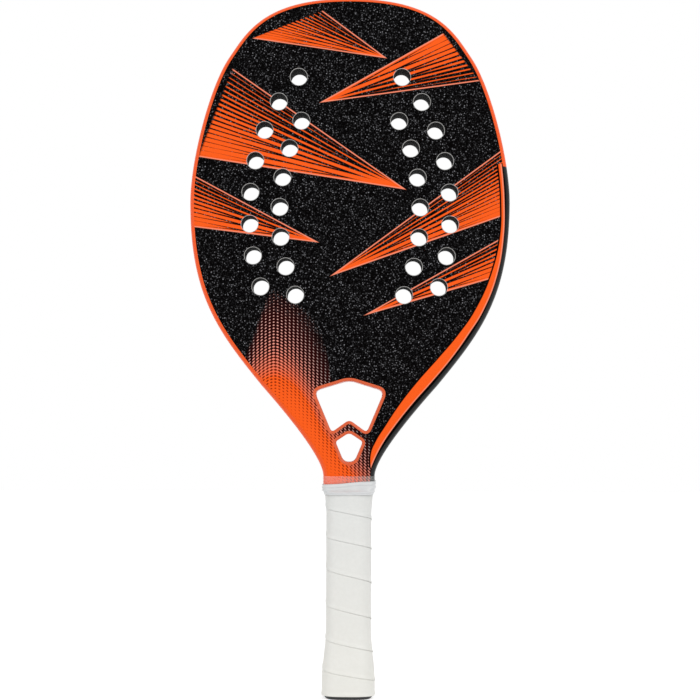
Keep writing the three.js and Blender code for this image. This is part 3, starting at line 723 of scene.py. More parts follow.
STRIPE_EDGES = (  # height, inner edge and outer edge of the stripe down the right
    (163.9, 15.4, 15.6), (173.8, 15.6, 19.9), (182.8, 19.2, 24.9), (191.7, 24.7, 31.0), (208.6, 35.8, 44.2),
    (225.5, 49.0, 59.0), (242.4, 63.9, 73.0), (259.3, 78.0, 84.9), (276.2, 89.5, 95.3), (302.1, 101.0, 105.2),
    (327.9, 107.0, 109.5), (352.8, 107.9, 110.1), (380.6, 105.6, 108.0),
)
HALFTONE_TOP_X = -53.3  # the halftone reaches highest here
HALFTONE_PITCH_ACROSS, HALFTONE_PITCH_UP = 2.84, 2.19
HALFTONE_BEND = 8.0  # how bluntly its rows turn down there
HALFTONE_PINK_REACH = 45.0  # its dots turn from pink to grey over this distance
HALFTONE_TONES = (
    (193, 1.1), (204, 0.98), (213, 0.87), (222, 0.72), (230, 0.59), (238, 0.47), (249, 0.35), (259, 0.25),
    (270, 0.16), (280, 0.08), (292, 0.01), (330, -0.06),
)
HALFTONE_SPREAD = (  # how far its sides hang down
    (0, 0), (9, 2.5), (13, 5), (23, 17), (34, 37), (45, 54), (55, 69), (65, 82), (75, 100),
)
HALFTONE_TOPS = (  # across the racket, the height at which its dots end
    (-80, 225), (-73, 246), (-68, 259), (-62, 276), (-55, 288), (-45, 284), (-33, 276), (-23, 264),
    (-16, 246), (-12, 225), (0, 205), (14, 186), (30, 170),
)
BLADES = (  # base corner on the solid edge, base corner on the fading edge, and tip
    ((-108, 385), (-84, 448), (40, 362)),
    ((-113, 335), (-112, 372), (-22, 324)),
    ((-70, 470), (-20, 490), (26, 456)),
    ((113, 345), (110, 392), (-14, 300)),
    ((105, 300), (112, 330), (10, 272)),
    ((66, 474), (92, 440), (-22, 424)),
)
BLADE_PITCH = 3.2  # between the lines of a blade at its base
BLADE_RIM = 0.8  # width of the pale line round a blade
BLADE_BLUR = 0.3
BLADE_THINNING = 0.95  # how much of a line's width is gone at the fading edge
MIDDLE_LINE_START, ODD_LINE_START = 0.36, 0.68  # how far along from the tip these lines begin
# spacing of the painted glints, and size of the painted sheen's haze
GLINT_PITCH = 1.2
SHEEN_SIZE = 0.8
STRIPE_SHADOW = 1.2  # black line inside the stripe
STRIPE_RIM = 0.9  # pale line along its outer edge


def graph(nodes, value, points, low, high):
    """Looks a value up on a smooth curve through points."""
    first, last = points[0][0], points[-1][0]
    scaled = [((at - first) / (last - first), (to - low) / (high - low)) for at, to in points]
    inputs = {"Value": ((value - first) / (last - first)).clamped()}
    return nodes.add("ShaderNodeFloatCurve", {"curve": scaled}, inputs) * (high - low) + low


def blade_paint(nodes, x, z, base, fading, tip):
    """A long triangle of lines that fan out from its tip: solid at one edge, thinning out to the other."""
    base, fading, tip = Vector(base), Vector(fading), Vector(tip)
    first, second = base - tip, fading - tip
    area = first.x * second.y - first.y * second.x
    to_base = (x - tip.x) * (second.y / area) + (z - tip.y) * (-second.x / area)
    to_fading = (x - tip.x) * (-first.y / area) + (z - tip.y) * (first.x / area)
    reach = to_base + to_fading
    share = to_fading / reach
    line = share * (4 * round((base - fading).length / BLADE_PITCH / 4))
    half_width = (1.0 - share * BLADE_THINNING) * 0.5 / reach
    # Every fourth line runs to the tip, the one between two of those half way, and the odd ones end early
    off_middle = abs(line % 4.0 - 2.0)
    ink = half_width - 2.0 + off_middle
    ink = ink.most(half_width * ((reach - MIDDLE_LINE_START) * 5.0).least(1.0) - off_middle)
    off_odd = abs(line % 2.0 - 1.0)
    ink = ink.most(half_width * ((reach - ODD_LINE_START) * 4.0).least(1.0) - off_odd)
    off_fading = to_base * abs(area / second.length)
    off_solid = to_fading * abs(area / first.length)
    inside = off_fading.edge(BLADE_BLUR) * off_solid.edge(BLADE_BLUR) * (1.0 - reach).edge(0.01)
    rim = (BLADE_RIM - off_fading.least(off_solid)).edge(0.4)
    return inside * (ink * reach).edge(0.1).most(rim), rim


def print_colour(nodes):
    x, _, z = nodes.place()
    # Painted glints and sheen: grey specks and a faint grey haze are mixed into the black print in place of
    # light caught by its grit
    glint = (0.32 - nodes.cells(GLINT_PITCH)).edge(0.2) * nodes.cells(GLINT_PITCH, "Color") ** 6.0 * 1.3
    sheen = ((nodes.grain(SHEEN_SIZE, 1.0) - 0.53) * 5.0).clamped() ** 2.0 * 0.085
    colour = nodes.mixed((glint + sheen).clamped(), PRINT_BLACK, GLINT_GREY)
    for corners in BLADES:
        paint, rim = blade_paint(nodes, x, z, *corners)
        colour = nodes.mixed(paint, colour, nodes.mixed(rim, PRINT_ORANGE, SALMON))
    across = x - HALFTONE_TOP_X
    row = (z + (across * across + HALFTONE_BEND**2).root() - HALFTONE_BEND) / HALFTONE_PITCH_UP
    fall = z + graph(nodes, abs(across), HALFTONE_SPREAD, 0.0, 120.0)
    below_top = graph(nodes, x, HALFTONE_TOPS, 150.0, 300.0) - z
    tone = graph(nodes, fall, HALFTONE_TONES, -0.1, 1.1).least(below_top * 0.02)
    dots = (x / HALFTONE_PITCH_ACROSS).wave() * 0.23 + row.wave() * 0.27 + 0.5
    pale = nodes.mixed((abs(across) / HALFTONE_PINK_REACH).clamped(), PINK_DOT, GREY_DOT)
    dot_colour = nodes.mixed(((tone - 0.15) * 2.1).clamped(), pale, PRINT_ORANGE)
    under = nodes.mixed((tone * 1.6 - 0.6).clamped(), UNDER_DARK, UNDER_ORANGE)
    colour = nodes.mixed((tone * 7.0).clamped(), colour, under)
    colour = nodes.mixed((dots + tone - 1.0).edge(0.14), colour, dot_colour)
    inner = graph(nodes, z, [(at, start) for at, start, _ in STRIPE_EDGES], 0.0, 120.0)
    outer = graph(nodes, z, [(at, end) for at, _, end in STRIPE_EDGES], 0.0, 120.0)
    along = (z > STRIPE_EDGES[0][0]) * (z < STRIPE_EDGES[-1][0])
    colour = nodes.mixed((x - inner + STRIPE_SHADOW).edge(0.4) * along, colour, PRINT_BLACK)
    stripe = (x - inner).edge(0.4) * (outer - x).edge(0.4) * along
    stripe_colour = nodes.mixed((x - outer + STRIPE_RIM).edge(0.5), PRINT_ORANGE, SALMON)
    return nodes.mixed(stripe, colour, stripe_colour)


def print_maker(nodes):
    return {
        "Base_Color": print_colour(nodes),
        "Roughness": nodes.grain(1.2, 3.0) * 0.2 + 0.42,
        "Normal": nodes.bump(nodes.cells(0.9), 0.06),
    }


def hole_edge_maker(nodes):
    """Pale cut glass at the broken edge, and dark foam below it."""
    broken = (abs(nodes.place()[1]) - (FACE_Y - HOLE_BREAK)).edge(0.1)
    cut_edge = nodes.mixed(0.3, CUT_GLASS, print_colour(nodes))
    return {
        "Base_Color": nodes.mixed(broken, CUT_FOAM, cut_edge),
        "Roughness": nodes.grain(0.8, 2.0) * 0.3 + 0.5,
    }


def joined(name, pieces):
    """Several bodies as one object."""
    mesh = bpy.data.meshes.new(name)
    with opened(mesh) as body:
        for piece in pieces:
            body.from_mesh(piece.data)
            bpy.data.objects.remove(piece)
    return placed(name, mesh)


def flat_layout(piece):
    """Lays the printed side out flat for a baked picture, with what the racket hides in a strip beside it."""
    layout = piece.data.uv_layers.new(name="OFBake")
    strip, margin = 0.97, 0.01
    seat_width, wall_start, wall_scale = 0.014, 0.016, 0.013
    low, tall = COLLAR_TOP.y, CROWN_Z - COLLAR_TOP.y
    for face in piece.data.polygons:
        shown = abs(face.center.y) > (SEAT_Y + 0.01) * MM and abs(face.normal.y) > 0.05
        for loop in face.loop_indices:
            x, y, z = piece.data.vertices[piece.data.loops[loop].vertex_index].co / MM
            across = (x / WIDEST.x + 1) / 2
            if shown:
                u = across * (strip - margin)
            elif abs(face.normal.y) > 0.9:
                u = strip + across * seat_width
            else:
                u = strip + wall_start + (abs(y) - SEAT_Y) * wall_scale
            layout.data[loop].uv = (u, (z - low) / tall)


printed_face = finish("printed_face", print_maker, Specular_IOR_Level=0.015)
hole_edge = finish("hole_edge", hole_edge_maker, Specular_IOR_Level=0.2)

layers = []
for y in LAMINATE_DEPTHS:
    right = drawn_in([*head_half(), *throat_half(), COLLAR_TOP], rim_inset(y))
    layers.append((-y, both_sides(right)))
front_laminate = piece_of("front_laminate", *stacked(layers), [printed_face])
zoned(front_laminate, lambda centre: RIM_ZONE if abs(centre.y) < PAINT_EDGE_Y else FACE_ZONE)

cutter_y = SEAT_Y - SHEET_OVERRUN
face_drill = drill_of("face_drill", [
    (-FACE_Y - HOLE_BREAK, hole_radius + 2 * HOLE_BREAK), (-FACE_Y + HOLE_BREAK, hole_radius),
    (-cutter_y, hole_radius),
])
flares = []
for opening in (upper_opening, lower_opening):
    loops = [(-FACE_Y - SHEET_OVERRUN, grown(opening, FLARE_REACH))]
    for i in range(FLARE_STEPS + 1):
        turn = math.pi / 2 * (1 - i / FLARE_STEPS)
        depth = FACE_Y - FLARE_DEPTH * (1 - math.sin(turn))
        loops.append((-depth, grown(opening, FLARE_REACH * (1 - math.cos(turn)))))
    loops.append((-cutter_y, opening))
    flares.append(piece_of("flare", *stacked(loops)))
flare_cutter = zoned(joined("flare_cutter", flares), lambda centre: OPENING_ZONE)
run_tree(front_laminate, perforations, {
    **row_sizes, "Drill": face_drill, "Opening cutter": flare_cutter, "Rim finish": rim_paint,
    "Face finish": printed_face, "Hole finish": hole_edge, "Opening finish": throat_paint,
})
bpy.data.objects.remove(face_drill)
bpy.data.objects.remove(flare_cutter)
smooth(front_laminate)
back_laminate = placed("back_laminate", front_laminate.data.copy())
for vertex in back_laminate.data.vertices:
    vertex.co.x *= -1
    vertex.co.y *= -1
smooth(back_laminate)
for laminate, node in ((front_laminate, "front_face"), (back_laminate, "back_face")):
    flat_layout(laminate)
    fitted(laminate, node)


# Handle pallets. Two half shells of tan urethane foam, moulded with a channel for each leg, are glued round
# the legs and build them up to the section of the grip. Nothing shows of them once the handle is wrapped.

URETHANE_PALE = (0.62, 0.53, 0.31)
URETHANE_TAN = (0.50, 0.41, 0.22)
URETHANE_PORE = (0.34, 0.27, 0.14)


def urethane_maker(nodes):
    pores = nodes.cells(1.1)
    tone = nodes.grain(14.0, 3.0)
    skin = nodes.mixed(tone, URETHANE_TAN, URETHANE_PALE)
    return {
        "Base_Color": nodes.mixed((0.32 - pores).edge(0.2) * 0.5, skin, URETHANE_PORE),
        "Roughness": tone * 0.2 + 0.65,
        "Normal": nodes.bump(pores, 0.1),
    }


def refinished(material, *nodes):
    """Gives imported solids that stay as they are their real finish."""
    for node in nodes:
        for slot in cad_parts[node].material_slots:
            slot.material = material


urethane = finish("urethane_foam", urethane_maker, Specular_IOR_Level=0.3)
refinished(urethane, "handle_pallet_front", "handle_pallet_back")


# Butt cap. A cup of black plastic is pressed over the foot of the pallets. It flares out to stop the hand,
# its edge is rounded, and a shallow panel is sunk in its flat end.

HANDLE_SIDES = 128
GRIP_HALF_WIDTH, GRIP_HALF_DEPTH = 14.3, 12.3
BUTT_FLARE_WIDTH, BUTT_FLARE_DEPTH = 2.8, 2.6
BUTT_FLARE_FROM, BUTT_FLARE_TO = 12.0, 49.0
TOP_FLARE = 0.9
TOP_FLARE_FROM, TOP_FLARE_TO = 130.8, 144.8
SQUARENESS = 3.0  # of the handle's section, 2 being an ellipse
CAP_SKIRT_TOP, SKIRT_STEPS = 34.0, 12
CAP_FLOOR = 3.0
FOOT_INSET, FOOT_RISE, FOOT_STEPS = 1.8, 2.2, 8
PANEL_SHARE, PANEL_DEPTH, PANEL_EDGE = 0.74, 0.6, 0.4
PLASTIC_BLACK = (0.010, 0.010, 0.010)
PLASTIC_WORN = (0.018, 0.018, 0.019)


def eased(value, low, high):
    share = min(1.0, max(0.0, (value - low) / (high - low)))
    return share * share * (3 - 2 * share)


def ring(z, half_width, half_depth):
    """A level section of the handle, an ellipse made squarer."""
    points = []
    for i in range(HANDLE_SIDES):
        turn = 2 * math.pi * i / HANDLE_SIDES
        cos, sin = math.cos(turn), math.sin(turn)
        outward = abs(cos / half_width) ** SQUARENESS + abs(sin / half_depth) ** SQUARENESS
        reach = outward ** (-1 / SQUARENESS)
        points.append((reach * cos, reach * sin, z))
    return points


def handle_ring(z, grow):
    """The section of the handle at a height, with its flares at both ends."""
    butt = 1 - eased(z, BUTT_FLARE_FROM, BUTT_FLARE_TO)
    top = eased(z, TOP_FLARE_FROM, TOP_FLARE_TO) * TOP_FLARE
    half_depth = GRIP_HALF_DEPTH + butt * BUTT_FLARE_DEPTH + top + grow
    return ring(z, GRIP_HALF_WIDTH + butt * BUTT_FLARE_WIDTH + top + grow, half_depth)


def plastic_maker(nodes):
    grain = nodes.grain(0.7, 3.0)
    return {
        "Base_Color": nodes.mixed(nodes.grain(5.0, 2.0), PLASTIC_BLACK, PLASTIC_WORN),
        "Roughness": grain * 0.2 + 0.38,
        "Normal": nodes.bump(grain, 0.03),
    }


black_plastic = finish("black_plastic", plastic_maker)

panel_x, panel_y = GRIP_HALF_WIDTH * PANEL_SHARE, GRIP_HALF_DEPTH * PANEL_SHARE
rings = [ring(PANEL_DEPTH, panel_x, panel_y), ring(0, panel_x + PANEL_EDGE, panel_y + PANEL_EDGE)]
for i in range(FOOT_STEPS + 1):
    turn = math.pi / 2 * i / FOOT_STEPS
    rings.append(handle_ring(FOOT_RISE * (1 - math.cos(turn)), -FOOT_INSET * (1 - math.sin(turn))))
for i in range(SKIRT_STEPS + 1):
    rings.append(handle_ring(BUTT_FLARE_FROM + (CAP_SKIRT_TOP - BUTT_FLARE_FROM) * i / SKIRT_STEPS, 0))
rings += [ring(z, GRIP_HALF_WIDTH + FIT_GAP, GRIP_HALF_DEPTH + FIT_GAP) for z in (CAP_SKIRT_TOP, CAP_FLOOR)]
cap = piece_of("butt_cup", *skinned(rings), [black_plastic])


# Staples. Two of bright wire, one in the front and one in the back of the cap's skirt, pin it to the pallets.
# Their crowns lie just under the surface, in slots, and the grip is wound over them.

STAPLE_Z = 24.0
STAPLE_HALF_SPAN, STAPLE_REACH = 4.8, 5.0
STAPLE_WIRE, STAPLE_CROWN = 1.2, 0.9
STAPLE_SINK = 0.25
STEEL_DARK = (0.52, 0.52, 0.54)
STEEL_BRIGHT = (0.66, 0.66, 0.67)


def staple_slot(side):
    """The slot in the cap's skirt that one staple lies in."""
    crown_y = -max(point[1] for point in handle_ring(STAPLE_Z, 0)) + STAPLE_SINK
    wide, narrow = STAPLE_HALF_SPAN + FIT_GAP, STAPLE_HALF_SPAN - STAPLE_WIRE - FIT_GAP
    back, tip = crown_y + STAPLE_CROWN + FIT_GAP, crown_y + STAPLE_REACH + FIT_GAP
    loop = [
        (-wide, crown_y - OVERRUN), (wide, crown_y - OVERRUN), (wide, tip), (narrow, tip),
        (narrow, back), (-narrow, back), (-narrow, tip), (-wide, tip),
    ]
    half = STAPLE_WIRE / 2 + FIT_GAP
    rings = [[(side * x, side * y, STAPLE_Z + z) for x, y in loop] for z in (-half, half)]
    return piece_of("slot", *skinned(rings))


def wire_maker(nodes):
    drawn = nodes.grain(0.5, 2.0, stretch=(0.2, 1, 1))
    return {
        "Base_Color": nodes.mixed(drawn, STEEL_DARK, STEEL_BRIGHT),
        "Roughness": drawn * 0.2 + 0.22,
    }


for side in (1, -1):
    cut(cap, staple_slot(side))
smooth(cap)
fitted(cap, "butt_cap")
steel_wire = finish("steel_wire", wire_maker, Metallic=1.0)
refinished(steel_wire, "staple_front", "staple_back")


# Neck film. A short sleeve of clear film is shrunk round the neck over the print, to keep it clean of glue.
# It is a little milky, and the finishing tape covers its lower half.

NECK_SIDES = 160
NECK_SQUARENESS = 6.0
NECK_SHARP = 50  # degrees from which an edge stays sharp
FILM_BOTTOM, FILM_TOP, FILM_STEPS = 149.5, 157.8, 4
FILM_THICKNESS, FILM_ROUND = 0.2, 0.1
FILM_HALF_WIDTH, FILM_HALF_DEPTH = 18.5, 11.8
CRUMPLE_SCALE, CRUMPLE_STRETCH = 2.6, 60.0  # of the noise round a sleeve, and of it along the sleeve
FILM_GREY = (0.84, 0.83, 0.81)
FILM_WHITE = (0.90, 0.89, 0.87)


def looked_up(nodes, holder, index):
    """The three parts of one of an object's points, by its number."""
    here = nodes.add("GeometryNodeInputPosition")
    inputs = {"Geometry": shape_of(nodes, holder), "Value": here, "Index": index}
    return nodes.parts(nodes.add("GeometryNodeSampleIndex", {"data_type": "FLOAT_VECTOR"}, inputs))


def slope(nodes, value, low, high):
    """0 up to the low value, 1 from the high one, and a smooth rise between."""
    inputs = {"Value": value, "From Min": low, "From Max": high}
    return nodes.add("ShaderNodeMapRange", {"interpolation_type": "SMOOTHSTEP"}, inputs)


def seeded_noise(nodes, given, where, scale):
    inputs = {"Vector": where, "W": given["Seed"], "Scale": scale, "Detail": 2.0}
    return nodes.add("ShaderNodeTexNoise", {"noise_dimensions": "4D"}, inputs)


def end_tree(nodes, given, body, out):
    body = nodes.add("GeometryNodeRealizeInstances", {}, [body])
    body = nodes.add("GeometryNodeSetMaterial", {}, {"Geometry": body, "Material": given["Finish"]})
    nodes.tree.links.new(body.socket, out)
    return nodes


def sleeve_tree():
    """A sleeve round the neck: its profile led round a section that changes with height."""
    nodes, given, out = new_tree(
        "sleeve", Object=["Profile"], Int=["Profile points", "Sides"], Material=["Finish"], Float=[
            "Low half width", "Low half depth", "Low squareness", "High half width", "High half depth",
            "High squareness", "Step height", "Step rise", "Width step rise", "Slant", "Rib pitch",
            "Rib height", "Crumple", "Seed",
        ],
    )
    count = given["Profile points"]
    grid = nodes.add("GeometryNodeMeshGrid", {}, {
        "Size X": 1.0, "Size Y": 1.0, "Vertices X": count + 1, "Vertices Y": given["Sides"] + 1,
    })
    # On the grid, x counts the points of the profile and y the sides of the sleeve
    x, y, _ = nodes.parts(nodes.add("GeometryNodeInputPosition"))
    index = ((x + 0.5) * count + 0.5).math("FLOOR") % count
    angle = (y + 0.5) * (2 * math.pi)
    ribbed, grow, z = looked_up(nodes, given["Profile"], index)

    def between(size, share):
        return given[f"Low {size}"] + share * (given[f"High {size}"] - given[f"Low {size}"])

    low = given["Step height"]
    step = slope(nodes, z, low, low + given["Step rise"])
    width_step = slope(nodes, z, low, low + given["Width step rise"])
    cos, sin = angle.math("COSINE"), angle.math("SINE")
    crumple = seeded_noise(nodes, given, nodes.vector(cos, sin, z * CRUMPLE_STRETCH), CRUMPLE_SCALE) - 0.5
    rib = ((z / given["Rib pitch"] + crumple * 0.5).wave() * 0.5 + 0.5) * given["Rib height"]
    raised = grow + ribbed / MM * (rib + crumple * given["Crumple"])
    power = between("squareness", step)
    across = (abs(cos) / (between("half width", width_step) + raised)) ** power
    along = (abs(sin) / (between("half depth", step) + raised)) ** power
    reach = (across + along) ** (-1.0 / power)
    moved = nodes.vector(reach * cos, reach * sin, z + step * given["Slant"] * cos)
    body = nodes.add("GeometryNodeSetPosition", {}, {"Geometry": grid, "Position": moved})
    body = nodes.add("GeometryNodeMergeByDistance", {}, {"Geometry": body, "Distance": WELD})
    return end_tree(nodes, given, body, out)


def in_metres(sizes):
    return {name: size * MM for name, size in sizes.items()}


def led_round(name, tree, profile, material, sharp_degrees, values):
    """A piece that its tree makes by leading a profile, points in millimetres, round the racket's axis."""
    piece = placed(name, bpy.data.meshes.new(name))
    mesh = bpy.data.meshes.new("profile")
    mesh.from_pydata([Vector(point) * MM for point in profile], [], [])
    holder = placed("profile", mesh)
    run_tree(piece, tree, {
        "Profile": holder, "Profile points": len(profile), "Finish": material, **values,
    })
    bpy.data.objects.remove(holder)
    with opened(piece.data) as body:
        bmesh.ops.recalc_face_normals(body, faces=body.faces)
    smooth(piece, sharp_degrees)
    return piece


def film_maker(nodes):
    milk = nodes.grain(5.0, 3.0)
    return {
        "Base_Color": nodes.mixed(milk, FILM_GREY, FILM_WHITE),
        "Roughness": nodes.grain(1.5, 2.0) * 0.2 + 0.3,
        "Alpha": milk * 0.05 + 0.075,
        "Normal": nodes.bump(nodes.grain(2.0, 2.0), 0.02),
    }


clear_film = finish("clear_film", film_maker, Specular_IOR_Level=0.3)
sleeves = sleeve_tree()
film_outside = FILM_TOP - FILM_ROUND - FILM_BOTTOM
film_wall = [(0, FILM_THICKNESS, FILM_BOTTOM + film_outside * i / FILM_STEPS) for i in range(FILM_STEPS + 1)]
film_wall += [(0, FILM_ROUND, FILM_TOP), (0, 0, FILM_TOP), (0, 0, FILM_BOTTOM)]
film = led_round("film", sleeves, film_wall, clear_film, NECK_SHARP, {
    "Sides": NECK_SIDES, "Low squareness": NECK_SQUARENESS, "High squareness": NECK_SQUARENESS,
    **in_metres({
        "Low half width": FILM_HALF_WIDTH, "Low half depth": FILM_HALF_DEPTH,
        "High half width": FILM_HALF_WIDTH, "High half depth": FILM_HALF_DEPTH,
        "Step rise": FILM_BOTTOM, "Width step rise": FILM_BOTTOM, "Rib pitch": FILM_TOP,
    }),
})
fitted(film, "neck_film")


# Grip. One long tape of soft white polyurethane is wound up the handle from the butt, each turn lapping the
# one below with a thickened lip. Both of its edges are thinned, and both of its ends are cut to a point.

TAPE_THICKNESS = 1.6
TAPE_BOTTOM, TAPE_TOP = 2.6, 145.8
LOWEST_SEAM, TAPE_PITCH = 17.4, 22.74
DRIFT, DRIFT_TURNS, DRIFT_START = 2.4, 5.2, 2.45
GROOVE, SKIVE = 0.3, 1.2
LIP_WIDTH, LIP_SHARE = 3.5, 0.33
TAPE_TIP = 2.5
STEPS_A_TURN = 120
PLAIN_STEPS = 9  # across the tape beside its lip
CIRCLE_POINTS = 720
WRAP_SHARP = 60
UNEVENNESS, UNEVEN_SCALE = 0.22, 75.0
# Each pair is given at the butt and at the top. The top ones are darker and bluer: painted shade. Worn and
# clean whites mix at random.
WORN_AND_SHADED_WHITES = ((0.79, 0.78, 0.72), (0.69, 0.70, 0.685))  # at the butt and at the top
CLEAN_AND_SHADED_WHITES = ((0.87, 0.865, 0.82), (0.80, 0.806, 0.785))
TAPE_LIP = (  # distance from the tape's lower edge, and height off the handle
    (0.0, 0.0), (0.0, 0.62), (0.0, 1.2), (0.05, 1.62), (0.16, 1.84), (0.34, 1.94), (0.6, 1.95), (0.95, 1.92),
    (1.4, 1.85), (1.9, 1.76), (2.5, 1.67), (3.0, 1.62), (LIP_WIDTH, TAPE_THICKNESS),
)


def seam_height(turn):
    """Lower edge of the tape, so many turns up from its lowest seam."""
    drift = DRIFT * math.sin(2 * math.pi * (turn - DRIFT_START) / DRIFT_TURNS)
    return LOWEST_SEAM + TAPE_PITCH * turn + drift


def winding_tree(sizes):
    """The tape: its profile led up round the handle turn by turn. These sizes are its named inputs."""
    nodes, given, out = new_tree(
        "winding", Object=["Profile"], Int=["Profile points", "Steps", "Steps a turn"], Float=sizes,
        Material=["Finish"],
    )
    count = given["Profile points"]
    tape = nodes.add("GeometryNodeMeshCylinder", {"fill_type": "NGON"}, {
        "Vertices": count, "Side Segments": given["Steps"] - 1,
    })
    index = nodes.add("GeometryNodeInputIndex")
    step = (index / count + 0.0001).math("FLOOR")
    share, offset, grow = looked_up(nodes, given["Profile"], index % count)
    turn = given["First turn"] + step / given["Steps a turn"]

    def seam(at):
        phase = (at - given["Drift start"]) / given["Drift turns"] - 0.25
        return given["Lowest seam"] + given["Pitch"] * at + given["Drift"] * phase.wave()

    def within(height):
        return height.most(given["Bottom"]).least(given["Top"])

    skive = (1.0 - grow / given["Thickness"]).most(0.0) * given["Skive"]
    low = within(seam(turn) + skive)
    high = within(seam(turn + 1.0) - given["Groove"] + skive)
    narrow = ((high - low) * given["Lip share"] / given["Lip width"]).least(1.0)
    z = low + offset * narrow + share / MM * (high - low - given["Lip width"] * narrow)

    def flare(name):
        return slope(nodes, z, given[f"{name} from"], given[f"{name} to"])

    butt, top = 1.0 - flare("Butt flare"), flare("Top flare") * given["Top flare"]

    # Where the tape has got to round a plain section, measured along it
    circle = nodes.add("GeometryNodeCurvePrimitiveCircle", {}, {"Resolution": CIRCLE_POINTS, "Radius": 1.0})
    x, y, _ = nodes.parts(nodes.add("GeometryNodeInputPosition"))
    x, y = (part.math("SIGN") * abs(part) ** (2.0 / given["Squareness"]) for part in (x, y))
    squared = nodes.vector(x * given["Half width"], y * given["Half depth"])
    plain = nodes.add("GeometryNodeSetPosition", {}, {"Geometry": circle, "Position": squared})
    where = {"Curves": plain, "Factor": (0.75 - turn) % 1.0}
    x, y, _ = nodes.parts(nodes.add("GeometryNodeSampleCurve", {"mode": "FACTOR"}, where, "Position"))

    outer = (grow / given["Thickness"]).least(1.0)
    uneven = (seeded_noise(nodes, given, nodes.vector(x, y, z), UNEVEN_SCALE) - 0.6) * given["Unevenness"]
    out_by = given["Clearance"] + top + grow + outer * uneven
    x = x * (given["Half width"] + butt * given["Butt flare width"] + out_by) / given["Half width"]
    y = y * (given["Half depth"] + butt * given["Butt flare depth"] + out_by) / given["Half depth"]
    moved = {"Geometry": tape, "Position": nodes.vector(x, y, z)}
    return end_tree(nodes, given, nodes.add("GeometryNodeSetPosition", {}, moved), out)


def wrap_maker(nodes):
    # Painted shade: the white darkens and turns bluer up the grip
    height = nodes.place()[2] / TAPE_TOP
    worn, clean = (nodes.mixed(height, *whites) for whites in (WORN_AND_SHADED_WHITES, CLEAN_AND_SHADED_WHITES))
    tone = nodes.grain(14.0, 3.0) * 0.5 + nodes.grain(2.4, 2.0) * 0.5
    return {
        "Base_Color": nodes.mixed(tone, worn, clean),
        "Roughness": nodes.grain(3.0, 3.0) * 0.2 + 0.4,
        "Normal": nodes.bump(nodes.grain(0.8, 2.0) + nodes.grain(6.0, 1.0) * 3.0, 0.05),
    }


# Section of the tape: share across its plain part, distance from its lower edge, and height off the handle
section = [(share, LIP_WIDTH, 0.0) for share in (1.0, 0.66, 0.33, 0.0)]
section += [(0.0, offset, grow) for offset, grow in TAPE_LIP]
section += [(i / PLAIN_STEPS, LIP_WIDTH, TAPE_THICKNESS) for i in range(1, PLAIN_STEPS + 1)]
section += [(1.0, LIP_WIDTH, grow) for grow in (1.1, 0.55)]
turn = -3.0  # well below the butt
while seam_height(turn + 1) - GROOVE <= TAPE_BOTTOM + TAPE_TIP:
    turn += 1 / STEPS_A_TURN
first_turn = turn
while seam_height(turn) <= TAPE_TOP - TAPE_TIP:
    turn += 1 / STEPS_A_TURN
steps = round((turn - first_turn) * STEPS_A_TURN)
white_wrap = finish("white_wrap", wrap_maker)
tape_sizes = {
    "First turn": first_turn, "Drift turns": DRIFT_TURNS, "Drift start": DRIFT_START, "Lip share": LIP_SHARE,
    "Squareness": SQUARENESS, "Seed": 4.0,
    **in_metres({
        "Bottom": TAPE_BOTTOM, "Top": TAPE_TOP, "Lowest seam": LOWEST_SEAM, "Pitch": TAPE_PITCH,
        "Drift": DRIFT, "Groove": GROOVE, "Skive": SKIVE, "Thickness": TAPE_THICKNESS,
        "Lip width": LIP_WIDTH, "Half width": GRIP_HALF_WIDTH, "Half depth": GRIP_HALF_DEPTH,
        "Butt flare width": BUTT_FLARE_WIDTH, "Butt flare depth": BUTT_FLARE_DEPTH,
        "Butt flare from": BUTT_FLARE_FROM, "Butt flare to": BUTT_FLARE_TO, "Top flare": TOP_FLARE,
        "Top flare from": TOP_FLARE_FROM, "Top flare to": TOP_FLARE_TO, "Clearance": FIT_GAP,
        "Unevenness": UNEVENNESS,
    }),
}
grip = led_round("grip_tape", winding_tree(tape_sizes), section, white_wrap, WRAP_SHARP, {
    "Steps": steps, "Steps a turn": STEPS_A_TURN, **tape_sizes,
})
fitted(grip, "grip_wrap")


# Finishing tape. A band of pale elastic tape is drawn round the top of the grip and the film to hold them
# down. It gathers in ribs where it is stretched, and its upper edge was cut on a slant.

BAND_BOTTOM, BAND_TOP, BAND_THICKNESS = 144.6, 153.1, 0.18
BAND_STEPS, BAND_EDGE_STEPS = 44, 4  # from edge to edge, and till the ribs are at their full height
BAND_INNER_LEVELS = (BAND_TOP, 151.4, 149.5, 148.4, 147.7, 147.0, 146.55, 146.1, BAND_BOTTOM)
ELASTIC_GREY = (0.62, 0.635, 0.645)
ELASTIC_WHITE = (0.74, 0.745, 0.745)


def elastic_maker(nodes):
    fibre = nodes.grain(1.1, 2.0, stretch=(1, 1, 3))
    return {
        "Base_Color": nodes.mixed(nodes.grain(6.0, 3.0), ELASTIC_GREY, ELASTIC_WHITE),
        "Roughness": fibre * 0.2 + 0.3,
        "Normal": nodes.bump(fibre, 0.12),
    }


pale_tape = finish("pale_tape", elastic_maker)
band = []
for i in range(BAND_STEPS + 1):
    level = BAND_BOTTOM + (BAND_TOP - BAND_BOTTOM) * i / BAND_STEPS
    band.append((min(1.0, i / BAND_EDGE_STEPS), BAND_THICKNESS, level))
band += [(0, 0, level) for level in BAND_INNER_LEVELS]
tape = led_round("elastic_tape", sleeves, band, pale_tape, NECK_SHARP, {
    "Sides": NECK_SIDES, "Low squareness": 3.5, "High squareness": NECK_SQUARENESS, "Seed": 2.0,
    **in_metres({
        "Step height": 146.1, "Step rise": 3.4, "Width step rise": 3.2, "Slant": 1.4, "Rib pitch": 2.4,
        "Rib height": 0.4, "Crumple": 0.25, "Low half width": 17.68, "Low half depth": 15.68,
        "High half width": 18.75, "High half depth": 12.1,
    }),
})
fitted(tape, "finishing_tape")


# Floor, light and camera. The racket stands on a white floor in plain soft light, seen at the height of its
# throat from a little over a metre away.

